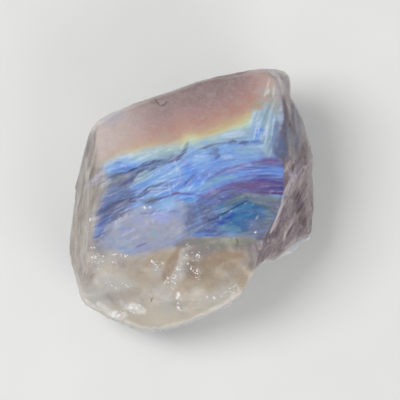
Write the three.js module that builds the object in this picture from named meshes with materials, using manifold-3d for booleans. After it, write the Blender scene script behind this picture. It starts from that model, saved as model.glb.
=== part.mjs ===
// Rough rainbow moonstone: one broken piece of feldspar, lying on a flat cleavage face.
// Millimetres, +Z up. X runs across the broad upper face and Y along it, and the origin is the
// centre of the footprint, on the resting face.
import * as THREE from "three";
import { ConvexGeometry } from "three/addons/geometries/ConvexGeometry.js";
import { ImprovedNoise } from "three/addons/math/ImprovedNoise.js";
import { mergeVertices } from "three/addons/utils/BufferGeometryUtils.js";
import Module from "manifold-3d";

const wasm = await Module();
wasm.setup();

// ---- Driving dimensions ----

const CREST_HEIGHT = 9.8; // of the upper face at its highest line, above the origin
const CREST_RISE = 0.055; // how much higher the crest gets for each mm to the right
const CREST_START = 5.2; // where the crest crosses X = 0
const CREST_HEADING = 0.33; // the crest's slope across the face
const MATT_TILT = 0.11; // fall of the frosted face, away from the crest
const FLASH_TILT = 0.075; // fall of the laminated face, the other way
const GLASSY_EDGE = -3.4; // Y of the line where the glassy slope begins
const GLASSY_TILT = 0.6; // fall of the glassy slope
const CROWN = 0.0045; // how fast the upper faces round off towards the rim, per mm squared
const OPEN_AIR = 14; // a height clear of the whole stone

const FACE_EDGE = 1.15; // spacing of the corners that carry the upper faces
const FLANK_EDGE = 1.35; // longest mesh edge on the broken flanks
const FOOT_EDGE = 6; // longest mesh edge on the flat resting face
const FLAT = 0.02; // what lies below this height belongs to the resting face
const DATUM = 4; // the height at which the outlines of the breaks are given

// How far weathering moves the skin: on the flanks, the two upper faces, the glassy slope, and
// round the widest line.
const WEAR = { flank: 0.34, face: 0.07, glassy: 0.17, rim: 0.08 };
const WEAR_WAVES = [2.3, 1.1]; // the lengths of its long and short waves

// ---- The three faces seen from above ----

const crestY = (x) => CREST_START + CREST_HEADING * x;
const crestZ = (x) => CREST_HEIGHT + CREST_RISE * x;
const mattFace = (x, y) => crestZ(x) - MATT_TILT * (y - crestY(x));
const flashFace = (x, y) => crestZ(x) + FLASH_TILT * (y - crestY(x));
const glassySlope = (x, y) => flashFace(x, GLASSY_EDGE) + GLASSY_TILT * (y - GLASSY_EDGE);
const upperSurface = (x, y) =>
  Math.min(mattFace(x, y), flashFace(x, y), glassySlope(x, y)) - CROWN * (x * x + y * y);

// ---- Corners of the unbroken block ----

// The rim of the three upper faces: X and Y, clockwise from the upper left.
const SHOULDER = [
  [-7.5, 6.1], [-5.8, 6.95], [1.3, 9.55], [5.3, 10.2], [7.0, 9.9], [7.35, 7.6], [7.4, 3.2],
  [7.25, 0.6], [6.65, -1.05], [5.7, -2.7], [5.3, -4.4], [4.4, -6.3], [3.4, -7.7], [2.2, -8.4],
  [0.5, -9.15], [-1.3, -9.85], [-3.5, -10.25], [-5.5, -9.45], [-8.2, -8.1], [-8.6, -7.0],
  [-8.2, -3.4], [-7.9, 0.0], [-7.65, 2.9],
];

// A second shoulder down the right flank, where it turns steeper: X, Y and height.
const BROW = [
  [7.75, 8.6, 7.6], [8.3, 6.6, 7.2], [8.7, 4.6, 7.1], [8.9, 2.8, 6.9], [8.75, 0.4, 6.6],
  [8.3, -1.9, 6.1],
];

// The widest line round the stone: X, Y and height.
const GIRDLE = [
  [-7.84, 6.08, 6.8], [-7.36, 6.6, 7.1], [-6.72, 7.0, 7.3], [-5.9, 7.25, 7.4], [-3.4, 8.25, 7.6],
  [-0.95, 9.05, 7.9], [1.3, 9.84, 8.1], [2.65, 10.2, 8.1], [4.25, 10.48, 8.0], [5.6, 10.6, 7.8],
  [6.65, 10.48, 7.6], [7.3, 10.3, 7.4], [7.7, 9.9, 7.0], [8.25, 7.9, 6.1], [8.6, 6.9, 5.7],
  [8.98, 5.9, 5.3], [9.38, 5.05, 5.0], [9.68, 3.35, 4.8], [9.78, 0.95, 4.5], [9.88, -0.55, 4.2],
  [9.65, -2.4, 3.9], [8.8, -4.8, 3.6], [3.3, -8.15, 3.5], [2.4, -8.65, 3.5], [0.65, -9.36, 3.4],
  [-1.1, -10.1, 3.1], [-2.2, -10.4, 3.0], [-3.5, -10.55, 3.0], [-4.3, -10.38, 3.0],
  [-5.76, -9.6, 3.2], [-7.36, -8.96, 3.4], [-8.6, -8.32, 3.7], [-8.96, -7.76, 3.9],
  [-9.1, -7.04, 4.0], [-9.52, -5.44, 4.2], [-9.76, -4.0, 4.4], [-9.85, -3.0, 4.5],
  [-9.6, -0.8, 4.9], [-9.12, 1.6, 5.4], [-8.8, 3.36, 5.8], [-8.32, 5.2, 6.4],
];

// The lower flanks, and the corners of the cleavage face that the stone lies on.
const FLANK = [
  [-8.9, -4.6, 1.5], [-8.9, 0.6, 2.4], [-7.1, 5.8, 2.6], [-1.8, 8.3, 2.2], [5.2, 9.7, 2.6],
  [7.4, 7.0, 2.0], [9.1, 1.6, 1.5], [8.8, -2.6, 1.2], [2.2, -8.0, 1.0], [-3.9, -9.6, 1.1],
  [-7.8, -7.6, 1.4],
];
const FOOT = [
  [-8.0, 1.4], [-6.3, 5.0], [-1.6, 7.4], [4.7, 8.7], [6.8, 6.6], [8.3, 1.2], [8.0, -2.6],
  [2.0, -7.1], [-3.8, -8.5], [-7.1, -6.9], [-8.2, -4.2],
];

// ---- Breaks taken out of the block ----

// Each is an outline from above, the heights it runs between, and how far it leans outwards for
// each mm that it goes up.
const BREAKS = [
  // The re-entrant corner at the lower right.
  {
    outline: [
      [10.6, -2.15], [9.56, -2.72], [8.64, -3.12], [7.04, -4.04], [5.6, -4.72], [5.04, -5.12],
      [4.64, -6.0], [3.92, -7.36], [3.28, -8.08], [2.4, -8.64], [3, -11], [12, -11], [12, -2],
    ],
    from: -1,
    to: OPEN_AIR,
  },
  // The dent below the upper right knob.
  {
    outline: [
      [7.66, 10.2], [7.7, 9.3], [7.7, 8.56], [7.82, 8.08], [8.22, 7.52], [8.54, 6.88], [10, 6],
      [10, 10.2],
    ],
    from: -1,
    to: OPEN_AIR,
  },
  // Steps of cleavage below the widest line, each a flat ledge and a riser, dying out at both ends.
  {
    outline: [
      [-8.2, 5.6], [-6.4, 6.25], [-4.0, 7.0], [-1.4, 7.9], [1.8, 8.75], [4.2, 9.3], [6.3, 10.2],
      [6.3, 12], [-8.2, 12],
    ],
    from: -1,
    to: 3.9,
    lean: [0, 0.1],
  },
  {
    outline: [
      [-7.4, 6.0], [-5.0, 6.3], [-2.4, 7.35], [0.2, 7.95], [2.2, 9.2], [2.2, 12], [-7.4, 12],
    ],
    from: -1,
    to: 1.9,
    lean: [0, 0.1],
  },
  {
    outline: [
      [-9.6, -5.6], [-8.85, -4.4], [-8.6, -2.2], [-8.45, 0.2], [-8.35, 2.2], [-8.9, 4.4],
      [-12, 4.4], [-12, -5.6],
    ],
    from: -1,
    to: 2.7,
    lean: [-0.1, 0],
  },
  {
    outline: [
      [-8.3, -8.1], [-6.2, -8.35], [-3.6, -9.0], [-1.2, -8.75], [1.0, -8.3], [2.6, -8.4],
      [2.6, -12], [-8.3, -12],
    ],
    from: -1,
    to: 1.5,
    lean: [0, -0.1],
  },
  {
    outline: [
      [7.7, 7.4], [8.2, 5.2], [8.75, 2.6], [8.9, -0.3], [8.75, -1.9], [9.4, -3.2], [12, -3.2],
      [12, 7.4],
    ],
    from: -1,
    to: 2.6,
    lean: [0.1, 0],
  },
];

// Flat chips knocked off the rim: a point of each one's face, and the way it faces.
const RIM_CHIPS = [
  { at: [-6.9, -8.45, 5.25], facing: [-0.35, -0.82, 0.5] },
  { at: [-4.6, -9.5, 4.8], facing: [-0.3, -0.8, 0.54] },
  { at: [6.75, 9.35, 9.3], facing: [0.5, 0.42, 0.76] },
  { at: [-7.9, 5.0, 8.4], facing: [-0.72, 0.3, 0.62] },
  { at: [7.1, -0.5, 9.1], facing: [0.72, -0.1, 0.68] },
];

// Shell-shaped breaks, each scooped by a ball: centre of its mouth in X and Y, radius, depth, and
// how much longer the ball is along X than it is along Y.
const SHELLS = [
  { x: -4.9, y: -6.3, radius: 12, depth: 0.28, stretch: 1.4 },
  { x: 1.9, y: -5.7, radius: 11, depth: 0.26, stretch: 0.75 },
  { x: -1.9, y: -8.9, radius: 6, depth: 0.2, stretch: 1.5 },
  { x: 8.3, y: 4.6, radius: 6, depth: 0.2, stretch: 0.8 },
  { x: 8.4, y: -1.2, radius: 5, depth: 0.25, stretch: 0.8 },
  { x: -8.9, y: -2.4, radius: 9, depth: 0.2, stretch: 0.8 },
  { x: 3.1, y: 10.0, radius: 8, depth: 0.18, stretch: 1.3 },
];

// Laminae on the flash face: the line of each low step, then its width and its drop.
const LAMINAE = [
  {
    line: [[-7.0, 2.35], [-5.8, 2.5], [-4.6, 2.8], [-3.4, 3.2], [-2.2, 3.65], [-0.35, 4.65]],
    width: 1.5,
    drop: 0.26,
  },
  { line: [[0.4, 4.35], [1.8, 4.75], [3.8, 4.85], [5.3, 4.75]], width: 1.0, drop: 0.16 },
  { line: [[-5.7, 1.2], [-4.9, 1.7], [-4.0, 2.2], [-3.4, 2.6]], width: 0.7, drop: 0.16 },
  { line: [[-7.4, -0.9], [-6.4, -0.2], [-3.9, 1.0], [-2.8, 1.45]], width: 0.9, drop: 0.2 },
  { line: [[-4.2, -0.05], [-2.6, 0.35], [-1.3, 0.75], [1.0, 0.45]], width: 0.8, drop: 0.17 },
  { line: [[0.7, 1.5], [1.8, 2.1], [3.4, 2.8], [5.2, 3.1], [6.8, 3.0]], width: 0.8, drop: 0.15 },
  { line: [[-0.3, -0.35], [1.1, 0.2], [2.6, 0.9], [4.4, 1.2], [6.9, 0.9]], width: 1.3, drop: 0.22 },
  { line: [[1.2, -1.35], [2.3, -0.9], [3.3, -0.35], [4.5, 0.15]], width: 0.5, drop: 0.14 },
  { line: [[-7.9, -2.6], [-7.0, -1.7], [-5.9, -1.1], [-4.9, -0.5]], width: 0.8, drop: 0.16 },
  { line: [[0.0, -2.9], [1.8, -2.75], [3.6, -2.7], [5.2, -2.75]], width: 0.7, drop: 0.16 },
];
const LAMINA_WANDER = 0.12; // how far a step's line strays from its curve

// Splintery grooves: the field they lie in, the way they run, how many, and the largest one.
const GROOVES = [
  // Fluting beside the upper right ridge.
  { x: [5.3, 7.2], y: [4.6, 8.0], run: [0.38, 0.93], count: 8, length: 3.0, width: 0.42, depth: 0.14 },
  // The splintery break down the right flank.
  { x: [7.3, 9.4], y: [-2.6, 3.4], run: [0.48, 0.88], count: 16, length: 3.4, width: 0.55, depth: 0.26 },
  { x: [5.8, 7.4], y: [-3.0, -0.4], run: [0.5, 0.87], count: 5, length: 2.6, width: 0.4, depth: 0.18 },
  // Long faint streaks down the left bevel.
  { x: [-9.3, -8.0], y: [-5.0, 4.0], run: [0.12, 0.99], count: 7, length: 3.4, width: 0.4, depth: 0.16 },
];

// Small hackly pits in the glassy slope, where it glints: centre of each patch, its reach, and count.
const PITS = [
  { x: -7.7, y: -4.6, reach: [0.6, 0.8], count: 5 },
  { x: -5.7, y: -4.7, reach: [0.7, 0.5], count: 4 },
  { x: -2.5, y: -4.9, reach: [0.5, 0.4], count: 3 },
  { x: -0.3, y: -5.1, reach: [0.8, 1.6], count: 10 },
  { x: -1.1, y: -7.9, reach: [0.4, 0.9], count: 4 },
  { x: 1.5, y: -7.6, reach: [0.6, 0.3], count: 3 },
];
const PIT_SIZE = [0.22, 0.42];

const UP = new THREE.Vector3(0, 0, 1);

// ---- Solids ----

function solidFrom(geometry) {
  const bare = geometry.clone();
  bare.deleteAttribute("normal");
  bare.deleteAttribute("uv");
  const merged = mergeVertices(bare, 1e-4);
  return new wasm.Manifold(
    new wasm.Mesh({
      numProp: 3,
      vertProperties: new Float32Array(merged.attributes.position.array),
      triVerts: new Uint32Array(merged.index.array),
    }),
  );
}

function geometryFrom(solid) {
  const { numProp, vertProperties, triVerts } = solid.getMesh();
  const corners = [];
  for (let i = 0; i < vertProperties.length; i += numProp) {
    corners.push(vertProperties[i], vertProperties[i + 1], vertProperties[i + 2]);
  }
  return new THREE.BufferGeometry()
    .setAttribute("position", new THREE.Float32BufferAttribute(corners, 3))
    .setIndex([...triVerts]);
}

// A repeatable stream of numbers from 0 to 1.
function dice(seed) {
  let state = seed;
  return () => {
    state = (state * 1664525 + 1013904223) % 4294967296;
    return state / 4294967296;
  };
}

const between = ([low, high], share) => low + (high - low) * share;

// ---- The block ----

const sidesOf = (outline) => outline.map((start, i) => [start, outline[(i + 1) % outline.length]]);

// Whether a point of the plan lies inside an outline: its ray along X crosses an odd number of sides.
function inside(outline, x, y) {
  const crossed = sidesOf(outline).filter(([[ax, ay], [bx, by]]) => {
    const spans = ay > y !== by > y;
    return spans && x < ax + ((y - ay) / (by - ay)) * (bx - ax);
  });
  return crossed.length % 2 === 1;
}

// How far a point of the plan is from an outline.
function distanceTo(outline, x, y) {
  const point = new THREE.Vector3(x, y, 0);
  const nearest = new THREE.Vector3();
  const gaps = sidesOf(outline).map(([[ax, ay], [bx, by]]) => {
    const side = new THREE.Line3(new THREE.Vector3(ax, ay, 0), new THREE.Vector3(bx, by, 0));
    return side.closestPointToPoint(point, true, nearest).distanceTo(point);
  });
  return Math.min(...gaps);
}

// Evenly spread corners on the upper faces, in staggered rows, clear of their rim.
function faceCorners() {
  const corners = [];
  const row = (FACE_EDGE * Math.sqrt(3)) / 2;
  const rows = Math.ceil(OPEN_AIR / row);
  for (let j = -rows; j <= rows; j += 1) {
    for (let i = -rows; i <= rows; i += 1) {
      const x = (i + (j % 2) / 2) * FACE_EDGE;
      const y = j * row;
      if (inside(SHOULDER, x, y) && distanceTo(SHOULDER, x, y) > FACE_EDGE / 2) {
        corners.push(new THREE.Vector3(x, y, upperSurface(x, y)));
      }
    }
  }
  return corners;
}

function block() {
  return solidFrom(
    new ConvexGeometry([
      ...faceCorners(),
      ...SHOULDER.map(([x, y]) => new THREE.Vector3(x, y, upperSurface(x, y))),
      ...[...BROW, ...GIRDLE, ...FLANK].map((corner) => new THREE.Vector3(...corner)),
      ...FOOT.map(([x, y]) => new THREE.Vector3(x, y, 0)),
    ]),
  );
}

// ---- Breaking and weathering it ----

// A prism on an outline, whose floor and roof heights are found point by point.
function prism(outline, floorAt, roofAt, lean = [0, 0]) {
  const shape = new THREE.Shape(outline.map(([x, y]) => new THREE.Vector2(x, y)));
  const geometry = new THREE.ExtrudeGeometry(shape, { depth: 1, bevelEnabled: false });
  const place = geometry.attributes.position;
  for (let i = 0; i < place.count; i += 1) {
    const [x, y] = [place.getX(i), place.getY(i)];
    const z = place.getZ(i) < 0.5 ? floorAt(x, y) : roofAt(x, y);
    place.setXYZ(i, x + lean[0] * (z - DATUM), y + lean[1] * (z - DATUM), z);
  }
  return solidFrom(geometry);
}

function breakAway(solid, { outline, from, to, lean }) {
  return solid.subtract(prism(outline, () => from, () => to, lean));
}

// Everything beyond a plane through a point.
function beyond({ at, facing }) {
  const turn = new THREE.Quaternion().setFromUnitVectors(UP, new THREE.Vector3(...facing).normalize());
  const slab = new THREE.BoxGeometry(OPEN_AIR, OPEN_AIR, OPEN_AIR)
    .translate(0, 0, OPEN_AIR / 2)
    .applyQuaternion(turn)
    .translate(...at);
  return solidFrom(slab);
}

// Splits every long edge at its middle, so that the broken faces can be roughened.
function refine(solid) {
  const geometry = geometryFrom(solid);
  const points = [];
  for (let i = 0; i < geometry.attributes.position.count; i += 1) {
    points.push(new THREE.Vector3().fromBufferAttribute(geometry.attributes.position, i));
  }
  const middles = new Map();
  const middle = (a, b) => {
    const key = a < b ? `${a} ${b}` : `${b} ${a}`;
    if (!middles.has(key)) {
      middles.set(key, points.length);
      points.push(points[a].clone().add(points[b]).multiplyScalar(0.5));
    }
    return middles.get(key);
  };
  // An edge's length as a share of the longest allowed where it lies.
  const excess = (a, b) => {
    const onFoot = Math.max(points[a].z, points[b].z) < FLAT;
    return points[a].distanceTo(points[b]) / (onFoot ? FOOT_EDGE : FLANK_EDGE);
  };
  const waiting = [];
  for (let i = 0; i < geometry.index.count; i += 3) {
    waiting.push([0, 1, 2].map((k) => geometry.index.getX(i + k)));
  }
  const done = [];
  while (waiting.length) {
    const [a, b, c] = waiting.pop();
    const sides = [[a, b, c], [b, c, a], [c, a, b]];
    const lengths = sides.map(([p, q]) => excess(p, q));
    const worst = Math.max(...lengths);
    if (worst <= 1) {
      done.push(a, b, c);
      continue;
    }
    const [p, q, r] = sides[lengths.indexOf(worst)];
    const m = middle(p, q);
    waiting.push([p, m, r], [m, q, r]);
  }
  return new THREE.BufferGeometry().setFromPoints(points).setIndex(done);
}

// Roughens a refined skin: the broken flanks most, the frosted face least, and the resting face
// not at all.
function weather(geometry) {
  const { lerp, smoothstep } = THREE.MathUtils;
  const noise = new ImprovedNoise();
  const place = geometry.attributes.position;
  for (let i = 0; i < place.count; i += 1) {
    const p = new THREE.Vector3().fromBufferAttribute(place, i);
    const clearOfFoot = smoothstep(p.z, FLAT, 1.2);
    const onTop = smoothstep(p.z - upperSurface(p.x, p.y), -0.7, -0.1);
    const onGlassy = smoothstep(GLASSY_EDGE - p.y, 0, 1);
    const inboard = smoothstep(distanceTo(GIRDLE, p.x, p.y), 0, 0.9);
    const wear = lerp(WEAR.flank, lerp(WEAR.face, WEAR.glassy, onGlassy), onTop);
    const wave = (seed) => {
      const [long, short] = WEAR_WAVES.map((size) =>
        noise.noise(p.x / size + seed, p.y / size + 2.3 * seed, p.z / size - seed),
      );
      return long + 0.6 * short;
    };
    const push = new THREE.Vector3(wave(11.37), wave(37.13), wave(71.59));
    p.addScaledVector(push, clearOfFoot * lerp(WEAR.rim, wear, inboard));
    place.setXYZ(i, p.x, p.y, p.z);
  }
  return solidFrom(geometry);
}

// Gives a finder of the skin's point above X and Y, and of the way the skin faces there.
function seatOn(geometry) {
  const mesh = new THREE.Mesh(geometry);
  const ray = new THREE.Raycaster();
  return (x, y) => {
    ray.set(new THREE.Vector3(x, y, OPEN_AIR), UP.clone().negate());
    const [hit] = ray.intersectObject(mesh);
    return hit && { point: hit.point, normal: hit.face.normal.clone() };
  };
}

// A stretched ball whose cap, of the given depth, lies inside the skin.
function shellCutter(seat, { x, y, radius, depth, stretch }) {
  const { point, normal } = seat(x, y);
  const centre = point.clone().addScaledVector(normal, radius - depth);
  const ball = new THREE.IcosahedronGeometry(radius, 9)
    .scale(Math.sqrt(stretch), 1 / Math.sqrt(stretch), 1)
    .applyQuaternion(new THREE.Quaternion().setFromUnitVectors(UP, normal))
    .translate(...centre);
  return solidFrom(ball);
}

// A low step: full depth along its line, and rising again to the skin across its width.
function laminaCutter({ line, width, drop }) {
  const curve = new THREE.CatmullRomCurve3(line.map(([x, y]) => new THREE.Vector3(x, y, 0)));
  const steps = line.length * 2;
  const noise = new ImprovedNoise();
  const edge = curve.getSpacedPoints(steps).map((p, i) => {
    const atEnd = i % steps === 0;
    const wander = atEnd ? 0 : LAMINA_WANDER * noise.noise(p.x * 2.1, p.y * 2.1, line.length + 0.37);
    return [p.x, p.y + wander];
  });
  const heel = edge.map(([x, y], i) => [x, y - width * Math.sin((Math.PI * i) / steps)]);
  const outline = [...edge, ...heel.slice(1, -1).reverse()];
  const floorAt = (x, y) => {
    const [, lineY] = edge.reduce((best, p) => (Math.abs(p[0] - x) < Math.abs(best[0] - x) ? p : best));
    const back = THREE.MathUtils.clamp((lineY - y) / width, 0, 1);
    return upperSurface(x, y) - drop * (1 - back);
  };
  return prism(outline, floorAt, (x, y) => upperSurface(x, y) + 1);
}

// A long thin eight-sided spindle lying in the skin.
function spindle({ point, normal }, run, { length, width, depth }, share) {
  const along = new THREE.Vector3(...run, 0).projectOnPlane(normal).normalize();
  const across = new THREE.Vector3().crossVectors(normal, along);
  const lie = new THREE.Matrix4().makeBasis(along, across, normal).setPosition(point);
  return new THREE.OctahedronGeometry(share).scale(length / 2, width / 2, depth).applyMatrix4(lie);
}

function groove(solid, seat, field, seed) {
  const roll = dice(seed);
  let grooved = solid;
  for (let i = 0; i < field.count; i += 1) {
    const spot = seat(between(field.x, roll()), between(field.y, roll()));
    const share = between([0.4, 1], roll());
    const run = [field.run[0] + between([-0.14, 0.14], roll()), field.run[1]];
    if (spot) {
      grooved = grooved.subtract(solidFrom(spindle(spot, run, field, share)));
    }
  }
  return grooved;
}

function pit(solid, seat, { x, y, reach, count }, seed) {
  const roll = dice(seed);
  let pitted = solid;
  for (let i = 0; i < count; i += 1) {
    const spot = seat(x + between([-1, 1], roll()) * reach[0], y + between([-1, 1], roll()) * reach[1]);
    const crumb = new THREE.IcosahedronGeometry(between(PIT_SIZE, roll()) / 2, 0)
      .rotateZ(between([0, Math.PI], roll()))
      .rotateX(between([0, Math.PI], roll()))
      .scale(1.2, 0.8, 0.6)
      .translate(...spot.point);
    pitted = pitted.subtract(solidFrom(crumb));
  }
  return pitted;
}

function moonstone() {
  const chipped = RIM_CHIPS.reduce((solid, chip) => solid.subtract(beyond(chip)), block());
  const broken = BREAKS.reduce(breakAway, chipped);
  const bare = seatOn(geometryFrom(broken));
  const shelled = SHELLS.reduce((solid, shell) => solid.subtract(shellCutter(bare, shell)), broken);
  const weathered = weather(refine(shelled));
  const stepped = LAMINAE.reduce((solid, step) => solid.subtract(laminaCutter(step)), weathered);
  const seat = seatOn(geometryFrom(stepped));
  const grooved = GROOVES.reduce((solid, field, i) => groove(solid, seat, field, 101 + i), stepped);
  return PITS.reduce((solid, patch, i) => pit(solid, seat, patch, 501 + i), grooved);
}

// ---- The part ----

const skin = geometryFrom(moonstone());
skin.computeBoundingBox();
const middle = skin.boundingBox.getCenter(new THREE.Vector3());
skin.translate(-middle.x, -middle.y, -skin.boundingBox.min.z);

const feldspar = new THREE.MeshStandardMaterial({ color: 0x8d8a92, roughness: 0.45, metalness: 0 });
const stone = new THREE.Mesh(skin, feldspar);
stone.name = "moonstone";

const part = new THREE.Group();
part.add(stone);
export default part;
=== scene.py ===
import math
import random

import bmesh
import bpy
import numpy as np
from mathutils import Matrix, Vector, noise


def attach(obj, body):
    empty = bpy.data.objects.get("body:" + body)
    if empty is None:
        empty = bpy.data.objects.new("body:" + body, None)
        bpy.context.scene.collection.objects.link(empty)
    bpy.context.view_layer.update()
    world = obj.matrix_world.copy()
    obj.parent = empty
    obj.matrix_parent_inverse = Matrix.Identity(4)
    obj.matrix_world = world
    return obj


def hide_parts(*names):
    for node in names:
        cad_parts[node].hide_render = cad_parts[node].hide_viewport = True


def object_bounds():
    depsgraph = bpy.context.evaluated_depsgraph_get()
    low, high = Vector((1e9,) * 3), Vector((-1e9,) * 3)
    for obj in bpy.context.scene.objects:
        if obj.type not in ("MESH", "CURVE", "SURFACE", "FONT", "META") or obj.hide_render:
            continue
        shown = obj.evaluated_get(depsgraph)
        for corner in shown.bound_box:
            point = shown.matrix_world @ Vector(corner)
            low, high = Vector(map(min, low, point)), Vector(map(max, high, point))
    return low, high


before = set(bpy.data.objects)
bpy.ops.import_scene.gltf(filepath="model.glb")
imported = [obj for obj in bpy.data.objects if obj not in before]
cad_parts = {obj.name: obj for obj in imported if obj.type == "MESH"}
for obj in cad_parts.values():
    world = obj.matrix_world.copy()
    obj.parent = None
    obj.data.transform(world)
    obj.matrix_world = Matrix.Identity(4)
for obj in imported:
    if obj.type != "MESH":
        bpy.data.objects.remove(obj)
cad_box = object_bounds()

# Rough rainbow moonstone: a broken piece of milky feldspar with a frosted face, a stepped silky
# face that flashes blue, and a glassy broken slope. The blue flash and the rainbow line are a
# sheen, painted into the colour. Shapes are worked in millimetres.

MM = 0.001
FINEST = 0.08         # the finest marking that shows, in mm
LEAN_SEED = 5         # how the chips and scoops lean, which noise_vector draws
GLINT_SEED = 41       # how the single bright facets lean
noise.seed_set(LEAN_SEED)

# ---------------------------------------------------------------- lines that divide the skin

# the rainbow line: frosted skin above it, blue flash below it; the flash is a painted sheen
CREST = [(-8.3, 2.7), (-7.7, 2.8), (-7.0, 2.95), (-6.4, 3.25), (-5.8, 3.6), (-5.1, 3.9),
         (-4.6, 4.0), (-3.4, 4.2), (-2.6, 4.3), (-2.0, 4.25), (-1.4, 4.4), (-0.9, 4.6),
         (-0.5, 5.0), (-0.2, 5.1), (0.2, 5.1), (0.7, 5.08), (1.4, 5.3), (2.0, 5.5),
         (2.6, 5.78), (3.2, 6.0), (4.1, 6.35), (4.7, 6.75), (5.1, 7.1), (5.5, 7.45),
         (5.9, 7.8), (6.3, 8.3), (6.6, 9.2), (6.8, 9.9)]
# where the silky face drops into the glassy slope
GLASS_LINE = [(-8.6, -3.1), (-7.8, -3.1), (-6.9, -3.3), (-6.2, -3.6), (-5.0, -4.0), (-3.8, -3.8),
              (-3.0, -3.7), (-1.9, -3.4), (-1.0, -3.2), (-0.3, -2.9), (0.3, -2.7), (2.2, -2.8),
              (4.2, -2.8), (5.1, -2.9), (5.8, -3.4)]
# the left bevel lies outside the first of these, and the splintery flank outside the second
BEVEL_LINE = [(-7.5, 8.0), (-7.8, 6.2), (-7.9, 4.4), (-7.6, 3.1), (-7.15, 2.3), (-7.1, 1.4),
              (-7.4, 0.6), (-7.7, -0.3), (-7.9, -1.4), (-8.1, -3.0), (-8.3, -4.2), (-8.3, -7.0),
              (-6.8, -8.6)]
RIDGE_LINE = [(5.4, 10.6), (6.9, 9.2), (7.3, 8.4), (7.25, 7.3), (7.15, 6.5), (6.95, 5.6),
              (6.7, 4.9), (6.5, 4.3), (6.5, 3.7), (6.75, 3.35), (7.15, 3.1), (7.25, 0.5),
              (7.0, -0.8), (5.7, -2.8), (5.2, -4.4), (4.6, -5.6)]

# ---------------------------------------------------------------- placed markings
# a family is a list of strokes: (path in mm, half width in hundredths of a mm, strength)

# the blues, cyans and violets of the flash washes are painted sheen
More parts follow.
